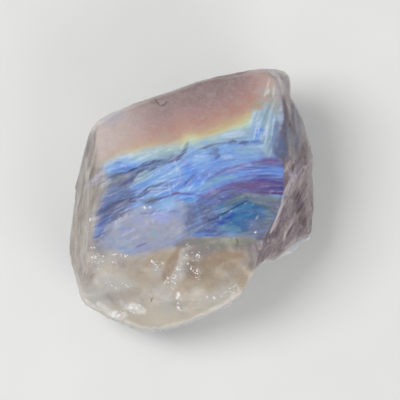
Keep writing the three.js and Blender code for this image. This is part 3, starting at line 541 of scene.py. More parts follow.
# single bright facets, painted as glints and raised a little: (place, half width in mm)
GLINTS = [((-6.3, -9.05), .24), ((-5.9, -9.15), .18), ((-6.1, -8.85), .12),
          ((-4.9, -8.5), .17), ((-4.45, -8.6), .14), ((-4.2, -8.35), .1),
          ((-1.1, -7.4), .17), ((-1.2, -7.65), .12), ((-1.1, -8.45), .14), ((1.2, -7.65), .08),
          ((1.75, -7.7), .1), ((-3.75, -.5), .1), ((-3.3, -.48), .08), ((-8.1, -1.45), .11),
          ((5.0, -2.45), .09), ((-6.1, -4.2), .08), ((-5.3, -4.35), .09),
          ((.35, -4.25), .08), ((-2.35, -4.9), .1), ((-.1, -5.3), .08)]

# ---------------------------------------------------------------- the skin of the stone

VOXEL = 0.168            # grain of the remeshed skin, mm
UPPER_SKIN = 0.42        # skin that faces up more than this gets a second, finer cut
UPPER_HEIGHT = 4.0       # and only where it lies above this, mm
BASE_HEIGHT = 0.12       # skin below this is the flat base and isn't softened, mm
FOOT_HEIGHT = 0.15       # skin below this gets no relief, mm
INSET = 0.002            # how far the skin stays inside the solid's box, mm
MERGE = 1e-7             # points of the solid nearer than this are one, m
NEAR = 8                 # rounds of averaging over neighbours, for a small area
WIDE = 36                # and for a wide one


def closed_skin(node):
    """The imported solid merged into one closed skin, evenly divided, in millimetres."""
    skin = bmesh.new()
    skin.from_mesh(node.data)
    bmesh.ops.remove_doubles(skin, verts=skin.verts, dist=MERGE)
    bmesh.ops.scale(skin, vec=(1 / MM,) * 3, verts=skin.verts)
    mesh = bpy.data.meshes.new("stone_blank")
    skin.to_mesh(mesh)
    skin.free()
    blank = bpy.data.objects.new("stone_blank", mesh)
    bpy.context.collection.objects.link(blank)
    remesh = blank.modifiers.new("even_skin", "REMESH")
    remesh.mode = "VOXEL"
    remesh.voxel_size = VOXEL
    view_layer = bpy.context.evaluated_depsgraph_get()
    even = bpy.data.meshes.new_from_object(blank.evaluated_get(view_layer))
    bpy.data.objects.remove(blank)
    skin = bmesh.new()
    skin.from_mesh(even)
    return skin


def soften(skin):
    """Takes the facets of the solid off the skin, but leaves the flat base."""
    free = [v for v in skin.verts if v.co.z > BASE_HEIGHT]
    for _ in range(2):
        bmesh.ops.smooth_vert(skin, verts=free, factor=0.5,
                              use_axis_x=True, use_axis_y=True, use_axis_z=True)


def cut_finer(skin):
    """The skin that faces up is divided once more, so that it can carry fine markings."""
    skin.normal_update()
    upper = [f for f in skin.faces
             if f.normal.z > UPPER_SKIN and f.calc_center_median().z > UPPER_HEIGHT]
    edges = {e for f in upper for e in f.edges}
    bmesh.ops.subdivide_edges(skin, edges=list(edges), cuts=1, use_grid_fill=True)


def spread(skin, values, rounds):
    """Values averaged over each point's neighbours, a number of rounds."""
    ends = np.array([(e.verts[0].index, e.verts[1].index) for e in skin.edges])
    near, far = np.concatenate([ends, ends[:, ::-1]]).T
    count = np.bincount(near, minlength=len(values))
    for _ in range(rounds):
        values = np.bincount(near, values[far], len(values)) / count
    return values


def standing_out(skin, places):
    """How far each point stands out from its neighbours, spread a little over the skin."""
    facing = np.array([v.normal for v in skin.verts])
    around = np.column_stack([spread(skin, column, 5) for column in places.T])
    stands_out = np.einsum("ij,ij->i", places - around, facing)
    return spread(skin, stands_out, 2)


# ---------------------------------------------------------------- measuring on the skin

def smooth_step(low, high, x):
    t = np.clip((x - low) / (high - low), 0, 1)
    return t * t * (3 - 2 * t)


def along_line(places, line):
    """Distance of each place to a line, which side of it (above is negative), and how far along."""
    best = np.full(len(places), np.inf)
    side = np.zeros(len(places))
    share = np.zeros(len(places))
    corners = np.array(line, float)
    steps = np.diff(corners, axis=0)
    lengths = np.hypot(*steps.T)
    runs = np.concatenate([[0], np.cumsum(lengths)])
    for start, step, length, run in zip(corners, steps, lengths, runs):
        away = places - start
        t = np.clip(away @ step / length ** 2, 0, 1)
        gap = away - t[:, None] * step
        distance = np.hypot(*gap.T)
        nearer = distance < best
        best[nearer] = distance[nearer]
        side[nearer] = -np.sign(step[0] * away[nearer, 1] - step[1] * away[nearer, 0])
        share[nearer] = (run + t[nearer] * length) / runs[-1]
    return best, side, share


def signed_distance(places, line):
    distance, side, _ = along_line(places, line)
    return distance * side


OCTAVE_FALL = 1.0        # how fast the finer octaves of noise fade
LEAN_STEP = 1.7          # how far apart the centres of cells are taken when their lean is drawn


def noise_places(places, scale, seed, apart):
    """Places in noise space, at scale cycles per mm, with each seed in a part of its own."""
    shift = Vector([seed * step for step in apart])
    return [Vector(p) + shift for p in places * np.array(scale)]


def wobble(places, scale, seed, octaves=3):
    """Smooth noise between about -1 and 1."""
    return np.array([noise.fractal(spot, OCTAVE_FALL, 2.0, octaves)
                     for spot in noise_places(places, scale, seed, (17.3, 5.1, 9.7))])


def crests(places, scale, seed, octaves=4):
    """Sharp-ridged noise between about 0 and 1."""
    values = np.array([noise.ridged_multi_fractal(spot, OCTAVE_FALL, 2.1, octaves, 1.0, 2.0)
                       for spot in noise_places(places, scale, seed, (11.9, 3.7, 7.1))])
    return np.clip(values / 2.2, 0, 1.4)


def chips(places, scale, seed):
    """Flat tilted chips like broken glass: height over each chip."""
    heights = np.empty(len(places))
    for i, spot in enumerate(noise_places(places, scale, seed, (4.3, 8.9, 2.2))):
        _, cells = noise.voronoi(spot)
        lean = noise.noise_vector(cells[0] * LEAN_STEP)
        heights[i] = (spot - cells[0]).dot(lean)
    return heights


def scoops(places, scale, seed, hollow, lean_share):
    """Shallow shell-shaped hollows that meet in sharp ridges, as on broken glass."""
    heights = np.full(len(places), np.inf)
    for i, spot in enumerate(noise_places(places, scale, seed, (6.1, 2.9, 4.7))):
        _, cells = noise.voronoi(spot)
        for centre in cells:
            away = spot - centre
            lean = noise.noise_vector(centre * LEAN_STEP)
            height = hollow * away.length_squared + lean_share * away.dot(lean) + 0.25 * lean.x
            heights[i] = min(heights[i], height)
    return heights


def terraces(height, step, riser):
    """Turns a smooth rise into steps with narrow risers."""
    level = height / step
    whole = np.floor(level)
    part = level - whole
    return (whole + smooth_step(0.5 - riser, 0.5 + riser, part)) * step


GRAIN_SLOPE = 0.5        # how far the silky grain sinks to the right


def grain_place(spots):
    """Place along and across the silky grain, which leans at the left and levels out."""
    x, y, z = spots.T
    bend = np.where(x < -1, 0, 0.03 * (x + 1) ** 2)
    return np.column_stack([x + GRAIN_SLOPE * y * 0.6, y - GRAIN_SLOPE * x + bend, z])


END_WIDTH = 0.3          # a stroke's width at its ends, as a share of its width
RAGGEDNESS = 0.6         # how far its outline wanders, as a share of its half width
WASH_SOFTNESS = 1.2      # how wide the edge of a stroke is, as a share of its half width
MARK_SOFTNESS = 0.75
PATCH_SOFTNESS = 0.9


def painted(places, outline, strokes, softness):
    """How strongly a family of strokes marks each place, with a ragged outline."""
    mask = np.zeros(len(places))
    for line, width, strength in strokes:
        half = width / 100
        low = np.min(line, axis=0) - half * 3
        high = np.max(line, axis=0) + half * 3
        near = np.all((places > low) & (places < high), axis=1)
        if not near.any():
            continue
        distance, _, share = along_line(places[near], line)
        bulge = np.sin(np.pi * np.clip(share, 0.02, 0.98)) ** 0.6
        taper = END_WIDTH + (1 - END_WIDTH) * bulge
        reach = half * (taper + RAGGEDNESS * outline[near])
        fade = max(half * softness, FINEST * 0.8)
        here = strength * (1 - smooth_step(reach - fade * 0.4, reach + fade, distance))
        mask[near] = np.maximum(mask[near], here)
    return mask


def glinting(places):
    """The single bright facets as painted glints, each a small leaning lozenge."""
    draw = random.Random(GLINT_SEED)
    mask = np.zeros(len(places))
    for spot, size in GLINTS:
        lean = draw.uniform(0, math.pi)
        turn = np.array([[math.cos(lean), math.sin(lean)],
                         [-math.sin(lean) * 1.7, math.cos(lean) * 1.7]])
        away = np.hypot(*((places - np.array(spot)) @ turn.T).T)
        mask = np.maximum(mask, 1 - smooth_step(size * 0.7, size * 1.5, away))
    return mask


def measured(skin, spots, rise, grain):
    """What kind of skin lies where: the measures that the relief and the material read."""
    plan = spots[:, :2]
    torn = wobble(grain, (0.5, 2.2, 0.5), seed=1)
    ragged = wobble(grain, (1.0, 6.0, 1.0), seed=2)
    torn_wash = 1.3 * wobble(grain, (0.55, 1.7, 0.8), seed=22, octaves=5)
    curled = 0.7 * wobble(spots, (0.7, 0.7, 0.7), seed=25, octaves=4)
    crest = signed_distance(plan, CREST) + 0.14 * torn
    glass = signed_distance(plan, GLASS_LINE) + 0.06 * torn
    bevel = -signed_distance(plan, BEVEL_LINE[::-1]) + 0.35 * torn + 0.15 * ragged
    ridge = -signed_distance(plan, RIDGE_LINE) + 0.06 * torn
    up = smooth_step(0.3, 0.8, rise)
    upper = facing_up(rise)
    cover = smooth_step(0.03, 0.42, spread(skin, upper, WIDE) + 0.14 * curled)

    # where the blue flash lies, which the material paints into the colour as sheen
    flash = (up * smooth_step(-0.2, 0.5, crest) * smooth_step(0.25, -0.25, glass)
             * smooth_step(0.3, -0.3, bevel) * smooth_step(0.3, -0.3, ridge))
    splinter = smooth_step(-0.1, 0.5, ridge) * smooth_step(-0.3, 0.2, rise)
    here = {
        "crest": crest,
        "glass": glass,
        "bevel": bevel,
        "ridge": ridge,
        "cover": cover,
        "flash": flash,
        "splinter": splinter,
        "glassy": up * smooth_step(-0.1, 0.5, glass),
        "frosted": up * smooth_step(0.3, -0.4, crest) * smooth_step(0.3, -0.3, ridge),
        "side": 1 - smooth_step(-0.1, 0.6, rise),
        "flank": spread(skin, splinter, WIDE),
    }
    for name, strokes in WASHES.items():
        outline = curled if name in CLOUDY else torn_wash
        here["wash_" + name] = painted(plan, outline, strokes, WASH_SOFTNESS) * cover
    inside = smooth_step(0.12, -0.12, ridge) * smooth_step(0.2, -0.7, bevel)
    for name, strokes in MARKS.items():
        outline = curled if name in CLOUDY else ragged
        here[name] = painted(plan, outline, strokes, MARK_SOFTNESS) * upper
        if name in FLASH_MARKS:
            here[name] *= inside
    sheer = smooth_step(0.66, 0.34, spread(skin, rise, NEAR))
    here["sliver"] *= 1 - 0.85 * sheer
    # the shattered patches and single facets are relief, and painted glints in the colour
    here["shattered"] = painted(plan, ragged, SHATTERED, PATCH_SOFTNESS) * upper
    here["glint"] = glinting(plan) * upper
    here["silky"] = flash * (1 - 0.8 * here["wash_haze"]) * (1 - 0.9 * here["wash_tuft"])
    # a painted rim light, lighter where the upper skin turns down
    here["rim"] = (smooth_step(0.38, 0.1, rise) * smooth_step(4.0, 5.0, spots[:, 2])
                   * (1 - splinter))
    return here


def facing_up(rise):
    return smooth_step(0.1, 0.45, rise)


# ---------------------------------------------------------------- relief

# how deep each kind of relief goes, in mm along the skin's own facing
DEPTH = {
    "broad_sheets": 0.13,
    "thin_sheets": 0.06,
    "silk": 0.01,
    "smudge_and_step_shadow": -0.06,
    "ice": 0.02,
    "haze": 0.05,
    "ripple": 0.022,
    "breaks": 0.09,
    "small_breaks": 0.045,
    "swells": 0.12,
    "glint": 0.04,
    "shattered": 0.12,
    "frost": 0.025,
    "frost_grain": 0.008,
    "splints": 0.18,
    "fibres": 0.025,
    "fibre_sink": 0.01,
    "flank_chips": 0.16,
    "tuft": 0.025,
    "striae": 0.02,
    "bevel_chips": 0.05,
    "ledges": 0.14,
    "scoops": 0.95,
    "small_scoops": 0.2,
    "side": 0.03,
    "milk_and_highlight": 0.02,
}


def silky_relief(spots, grain, here):
    """Thin lamina sheets with silky striations, and plainer skin where it is hazy."""
    silky = here["silky"]
    sheets = terraces(DEPTH["broad_sheets"] * wobble(grain, (0.16, 1.1, 0.2), seed=3, octaves=4),
                      step=0.05, riser=0.10)
    sheets += terraces(DEPTH["thin_sheets"] * wobble(grain, (0.35, 3.2, 0.4), seed=4, octaves=4),
                       step=0.025, riser=0.14)
    silk = crests(grain, (0.28, 6.5, 0.4), seed=5) * DEPTH["silk"]
    relief = silky * (sheets + silk - DEPTH["silk"]) * (1 - 0.5 * here["wash_slate"])
    relief += here["flash"] * (DEPTH["smudge_and_step_shadow"] * here["smudge_and_step_shadow"] + DEPTH["ice"] * here["ice"])
    relief += (here["flash"] - silky) * wobble(spots, (0.9, 0.9, 0.9), seed=21) * DEPTH["haze"]
    return relief


def glassy_relief(spots, here):
    """Ripples, shell-shaped breaks and low swells, with glints and shattered patches."""
    ripple = np.sin(wobble(spots, (0.28, 0.28, 0.28), seed=6, octaves=2) * 14) * DEPTH["ripple"]
    breaks = (chips(spots, (0.4, 0.36, 0.4), seed=7) * DEPTH["breaks"]
              + chips(spots, (1.3, 1.1, 1.1), seed=8) * DEPTH["small_breaks"])
    swells = wobble(spots, (0.33, 0.33, 0.33), seed=26, octaves=2) * DEPTH["swells"]
    relief = here["glassy"] * (ripple + breaks + swells) + DEPTH["glint"] * here["glint"]
    relief += here["shattered"] * chips(spots, (4.0, 4.0, 4.0), seed=23) * DEPTH["shattered"]
    return relief


def frosted_relief(spots, here):
    return here["frosted"] * (wobble(spots, (0.8, 0.8, 0.8), seed=9) * DEPTH["frost"]
                              + wobble(spots, (5, 5, 5), seed=15, octaves=2)
                              * DEPTH["frost_grain"])


def flank_relief(spots, here):
    """Splints and fibres that slant down the flank, and the combed tuft at its top."""
    slant = spots @ np.array([(0.9, 0.43, 0), (-0.43, 0.9, 0), (0.15, 0, 1)])
    fibres = terraces(DEPTH["splints"] * wobble(slant, (1.5, 0.14, 0.1), seed=10, octaves=4),
                      step=0.07, riser=0.12)
    fibres += crests(slant, (4.5, 0.3, 0.25), seed=11) * DEPTH["fibres"] - DEPTH["fibre_sink"]
    fibres *= 1 - 0.8 * smooth_step(3.2, 4.6, spots[:, 1])
    relief = here["splinter"] * (fibres + chips(slant, (0.7, 0.22, 0.18), seed=16)
                                 * DEPTH["flank_chips"])
    relief += here["wash_tuft"] * crests(slant, (3.0, 0.25, 0.25), seed=17) * DEPTH["tuft"]
    return relief


def bevel_relief(spots, rise, here):
    striae = (crests(spots, (2.6, 0.3, 0.8), seed=12) * DEPTH["striae"]
              + chips(spots, (0.9, 0.3, 0.6), seed=18) * DEPTH["bevel_chips"])
    return smooth_step(-0.1, 0.3, here["bevel"]) * facing_up(rise) * striae


def side_relief(spots, here):
    """Cleavage ledges in places, and shell-shaped hollows of two sizes."""
    layers = spots @ np.array([0.10, -0.16, 1.0])
    sway = 0.5 * wobble(spots, (0.16, 0.16, 0.1), seed=13, octaves=2)
    ledges = terraces(layers + sway, step=1.5, riser=0.05) - layers
    stepped = smooth_step(-0.1, 0.25, wobble(spots, (0.13, 0.13, 0.13), seed=24, octaves=2))
    return here["side"] * (
        np.clip(ledges, -0.8, 0.8) * DEPTH["ledges"] * stepped
        + scoops(spots, (0.34, 0.34, 0.4), seed=14, hollow=0.5, lean_share=1.0) * DEPTH["scoops"]
        + scoops(spots, (0.95, 0.95, 0.8), seed=19, hollow=0.4, lean_share=0.9)
        * DEPTH["small_scoops"]
        + wobble(spots, (0.5, 0.5, 0.5), seed=20) * DEPTH["side"])


def with_relief(spots, facing, relief):
    """The skin's points moved by the relief, inside the solid's box and with the base flat."""
    rise = facing[:, 2]
    height = spots[:, 2]
    # the widest line keeps its place, and the foot moves sideways only
    rim_hold = 1 - 0.7 * np.exp(-(rise / 0.25) ** 2) * smooth_step(2.5, 4.0, height)
    plain = np.ones_like(rise)
    way = facing * np.column_stack([plain, plain, smooth_step(0.1, 1.0, height)])
    underside = smooth_step(-0.95, -0.6, rise)
    relief = relief * (rim_hold * underside)
    low = np.array(cad_box[0]) / MM + INSET
    high = np.array(cad_box[1]) / MM - INSET
    moved = np.clip(spots + way * relief[:, None], low, high)
    flat = height < FOOT_HEIGHT
    moved[flat] = np.clip(spots[flat], low, high)
    return moved


def build_stone():
    """The skin with its relief, and the measures that the material reads."""
    skin = closed_skin(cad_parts["moonstone"])
    soften(skin)
    cut_finer(skin)
    soften(skin)
    skin.normal_update()
    skin.verts.ensure_lookup_table()
    spots = np.array([v.co for v in skin.verts])
    facing = np.array([v.normal for v in skin.verts])
    rise = facing[:, 2]
    grain = grain_place(spots)

    here = measured(skin, spots, rise, grain)
    relief = silky_relief(spots, grain, here)
    relief += glassy_relief(spots, here)
    relief += frosted_relief(spots, here)
    relief += flank_relief(spots, here)
    relief += bevel_relief(spots, rise, here)
    relief += side_relief(spots, here)
    relief += here["milk_and_highlight"] * DEPTH["milk_and_highlight"]
    moved = with_relief(spots, facing, relief)
    for vert, place in zip(skin.verts, moved):
        vert.co = place
    skin.normal_update()
    here["edge"] = standing_out(skin, moved)

    bmesh.ops.scale(skin, vec=(MM,) * 3, verts=skin.verts)
    bmesh.ops.recalc_face_normals(skin, faces=skin.faces)
    mesh = bpy.data.meshes.new("moonstone_skin")
    skin.to_mesh(mesh)
    skin.free()
    for polygon in mesh.polygons:
        polygon.use_smooth = True
    for name, values in here.items():
        attribute = mesh.attributes.new(name, "FLOAT", "POINT")
        attribute.data.foreach_set("value", values.astype(np.float32))
    track = mesh.attributes.new("grain", "FLOAT_VECTOR", "POINT")
    track.data.foreach_set("vector", grain.astype(np.float32).ravel())
    stone = bpy.data.objects.new("moonstone_skin", mesh)
    bpy.context.collection.objects.link(stone)
    return stone


# ---------------------------------------------------------------- tones

BRIGHT = 1.25         # how much lighter the stone is lit here than its plain tones
GLOSS = 0.035         # what the gloss adds to every tone
LAMPS = 1.15          # how strongly the upper skin is lit


def tone(red, green, blue, gain=BRIGHT):
    """A plain screen tone as the linear colour that shows as that tone under the lamps."""
    def mixed(value):
        value = min(value * gain / 255, 1)
        value = value / 12.92 if value <= 0.04045 else ((value + 0.055) / 1.055) ** 2.4
        return max((value - GLOSS) / LAMPS, 0.004)
    return (mixed(red), mixed(green), mixed(blue), 1)


# what each family of washes and marks is coloured
WASH_TONES = {
    "haze": (134, 136, 150),
    "chalk": (156, 147, 146),
    "ivory": (160, 154, 141),
    "dusk": (114, 110, 112),
    "lilac": (128, 138, 182),
    # the next two tones are painted shade on the right flank
    "facet": (88, 90, 107),
    "lee_shade": (86, 96, 124),
    "blush": (116, 104, 106),
    "tuft": (126, 145, 156),
    "umber": (118, 110, 110),
    "honey": (120, 106, 94),
    "peach": (146, 132, 114),
    "frost": (158, 158, 158),
    "fringe": (138, 134, 126),
    "stone_grey": (92, 95, 104),
    "slate": (84, 90, 118),
    "mist": (134, 154, 164),
    "sky": (116, 148, 184),
    "azure": (84, 122, 188),
    "mauve": (84, 74, 116),
    "deep": (44, 66, 116),
    "sea": (58, 92, 112),
    "verge": (124, 130, 134),
    "steel": (102, 114, 142),
    "teal": (10, 84, 126),
}
# these washes lie over the flank's own tone
FLANK_WASHES = ("chalk", "facet", "lee_shade", "blush")
MARK_TONES = {
    "sage": (112, 115, 110),
    "pearl": (164, 164, 186),
    "amber": (124, 102, 82),
    "smoke": (92, 84, 92),
    "aqua": (108, 146, 158),
    "leaf": (120, 130, 104),
    "violet": (88, 76, 126),
    "plum": (74, 52, 92),
    "rose": (102, 74, 108),
    "cyan": (66, 128, 160),
    "cobalt": (40, 60, 134),
    # dark smudges, and painted step shadows along the lamina steps
    "smudge_and_step_shadow": (66, 68, 96),
    "pitch": (34, 50, 78),
    "ice": (158, 172, 192),
    "sliver": (178, 168, 174),
    # painted shade on the flank's outer strip
    "russet_shade": (82, 65, 69),
    # whitish bruises and painted highlights
    "milk_and_highlight": (196, 192, 190),
    "dirt": (58, 44, 42),
}
# the tones that run across each kind of skin: (place in the run, tone)
RUNS = {
    "body": [(0.3, (146, 154, 168)), (0.43, (162, 165, 172)), (0.57, (174, 171, 167)),
             (0.72, (186, 185, 183))],
    "frost": [(0.0, (118, 104, 104)), (0.25, (122, 104, 104)), (0.5, (136, 111, 110)),
              (0.75, (150, 117, 107)), (0.9, (155, 127, 114)), (1.0, (158, 139, 123))],
    # the blue and rainbow runs are the flash, painted sheen
    "blue": [(0.32, (84, 102, 156)), (0.44, (94, 124, 180)), (0.54, (106, 138, 188)),
             (0.66, (122, 154, 190))],
    "cream": [(0.3, (144, 139, 138)), (0.42, (157, 151, 145)), (0.55, (166, 158, 147)),
              (0.7, (182, 177, 170))],
    "rainbow": [(0.0, (148, 122, 113)), (0.22, (154, 130, 114)), (0.34, (160, 144, 116)),
                (0.43, (168, 162, 126)), (0.52, (166, 174, 146)), (0.61, (150, 171, 162)),
                (0.72, (140, 163, 176)), (0.88, (122, 150, 184)), (1.0, (112, 142, 182))],
    "bevel": [(0.3, (122, 114, 108)), (0.43, (138, 131, 125)), (0.57, (147, 140, 134)),
              (0.72, (160, 155, 150))],
    # the flank's dark tone is partly its own lilac grey, partly painted shade
    "flank": [(0.3, (86, 76, 90)), (0.42, (105, 94, 103)), (0.55, (124, 112, 112)),
              (0.7, (158, 149, 149))],
}
# single tones that break up the runs
TINTS = {
    "pale_plate": (192, 194, 196),
    "dark_plate": (138, 143, 158),
    "vein": (132, 136, 150),
    "milky_cloud": (192, 191, 190),
    "worn_frost": (162, 151, 147),
    "frost_cloud": (150, 140, 140),
    "frost_speck": (168, 158, 156),
    "frost_pit": (100, 84, 84),
    "pale_wisp": (178, 176, 172),
    "dark_wisp": (132, 124, 122),
    "pale_haze": (150, 146, 144),
    "blue_haze": (114, 124, 146),
    "pale_grit": (122, 130, 152),
    "dark_grit": (74, 74, 104),
    "green_play": (120, 152, 168),
    "mauve_play": (104, 102, 154),
    "pale_thread": (142, 164, 196),
    "dark_thread": (72, 80, 124),
    "pale_needle": (160, 176, 186),
    "dark_needle": (96, 112, 128),
    "bevel_scratch": (104, 98, 95),
    "high_bevel_dark": (108, 103, 99),
    "high_bevel_pale": (136, 131, 127),
    "pale_shard": (170, 163, 170),
    "dark_shard": (90, 79, 97),
    "low_flank": (104, 90, 95),
    "top_flank": (136, 128, 131),
    "outer_dark": (116, 106, 110),
    "outer_pale": (146, 135, 135),
    # painted rim light
    "rim": (176, 172, 170),
    "bruise": (188, 186, 186),
    # painted shade in concave places
    "hollow": (96, 92, 102),
}
# the white of the painted glints
SPARK = tone(248, 248, 248, gain=1.0)
FACET_SPARK = tone(250, 250, 250, gain=1.0)

# ---------------------------------------------------------------- material

FELDSPAR_IOR = 1.53
COAT_ROUGHNESS = 0.17
GLOW_DEPTH = 1.2 * MM              # how far light spreads under the skin
GLOW_COLOURS = (1.0, 0.9, 0.85)    # red spreads the furthest
BUMP_DEPTH = 0.05 * MM
BUMP_STRENGTH = 0.6


class Bench:
    """Lays out the nodes of one material."""

    def __init__(self, name):
        self.material = bpy.data.materials.new(name)
        self.material.use_nodes = True
        self.tree = self.material.node_tree
        self.tree.nodes.clear()

    def node(self, kind, **settings):
        made = self.tree.nodes.new(kind)
        for key, value in settings.items():
            setattr(made, key, value)
        return made

    def feed(self, socket, value):
        if isinstance(value, bpy.types.NodeSocket):
            self.tree.links.new(value, socket)
        elif value is not None:
            socket.default_value = value

    def measure(self, name):
        return self.node("ShaderNodeAttribute", attribute_name=name).outputs["Fac"]

    def vector(self, name):
        return self.node("ShaderNodeAttribute", attribute_name=name).outputs["Vector"]

    def math(self, kind, a, b=None, clamp=False):
        made = self.node("ShaderNodeMath", operation=kind, use_clamp=clamp)
        self.feed(made.inputs[0], a)
        self.feed(made.inputs[1], b)
        return made.outputs[0]

    def chained(self, kind, total, values):
        for value in values:
            total = self.math(kind, total, value)
        return total

    def times(self, first, *others):
        return self.chained("MULTIPLY", first, others)

    def plus(self, first, *others):
        return self.chained("ADD", first, others)

    def less(self, first, *others):
        return self.chained("SUBTRACT", first, others)

    def most(self, first, *others):
        return self.chained("MAXIMUM", first, others)

    def mix(self, share, a, b):
        made = self.node("ShaderNodeMix", data_type="RGBA")
        self.feed(made.inputs["Factor"], share)
        self.feed(made.inputs[6], a)
        self.feed(made.inputs[7], b)
        return made.outputs[2]

    def range(self, value, low, high, to_low=0.0, to_high=1.0, smooth=True):
        made = self.node("ShaderNodeMapRange",
                         interpolation_type="SMOOTHSTEP" if smooth else "LINEAR")
        self.feed(made.inputs["Value"], value)
        for key, number in (("From Min", low), ("From Max", high), ("To Min", to_low),
                            ("To Max", to_high)):
            made.inputs[key].default_value = number
        return made.outputs["Result"]

    def stretch(self, vector, scale):
        made = self.node("ShaderNodeMapping")
        self.feed(made.inputs["Vector"], vector)
        made.inputs["Scale"].default_value = scale
        return made.outputs["Vector"]

    def turned(self, vector, degrees):
        made = self.node("ShaderNodeMapping")
        self.feed(made.inputs["Vector"], vector)
        made.inputs["Rotation"].default_value = (0, 0, math.radians(degrees))
        return made.outputs["Vector"]

    def noise(self, vector, scale=1.0, detail=3.0, roughness=0.55, warp=0.0):
        made = self.node("ShaderNodeTexNoise")
        self.feed(made.inputs["Vector"], vector)
        made.inputs["Scale"].default_value = scale
        made.inputs["Detail"].default_value = detail
        made.inputs["Roughness"].default_value = roughness
        made.inputs["Distortion"].default_value = warp
        return made.outputs["Fac"]

    def cells(self, vector, scale=1.0, metric="EUCLIDEAN"):
        """Random cells: a colour drawn for each, and the distance from its centre."""
        made = self.node("ShaderNodeTexVoronoi", feature="F1", distance=metric)
        self.feed(made.inputs["Vector"], vector)
        made.inputs["Scale"].default_value = scale
        return made.outputs["Color"], made.outputs["Distance"]

    def draws(self, colour):
        """Two random numbers out of a cell's colour."""
        apart = self.node("ShaderNodeSeparateColor")
        self.feed(apart.inputs[0], colour)
        return apart.outputs[0], apart.outputs[1]

    def ramp(self, value, stops):
        made = self.node("ShaderNodeValToRGB")
        self.feed(made.inputs["Fac"], value)
        band = made.color_ramp
        for _ in range(len(stops) - 2):
            band.elements.new(0.5)
        for element, (place, colour) in zip(band.elements, stops):
            element.position = place
            element.color = colour
        return made.outputs["Color"]

    def finish(self, shader):
        output = self.node("ShaderNodeOutputMaterial")
        self.feed(output.inputs["Surface"], shader.outputs["BSDF"])
        return self.material


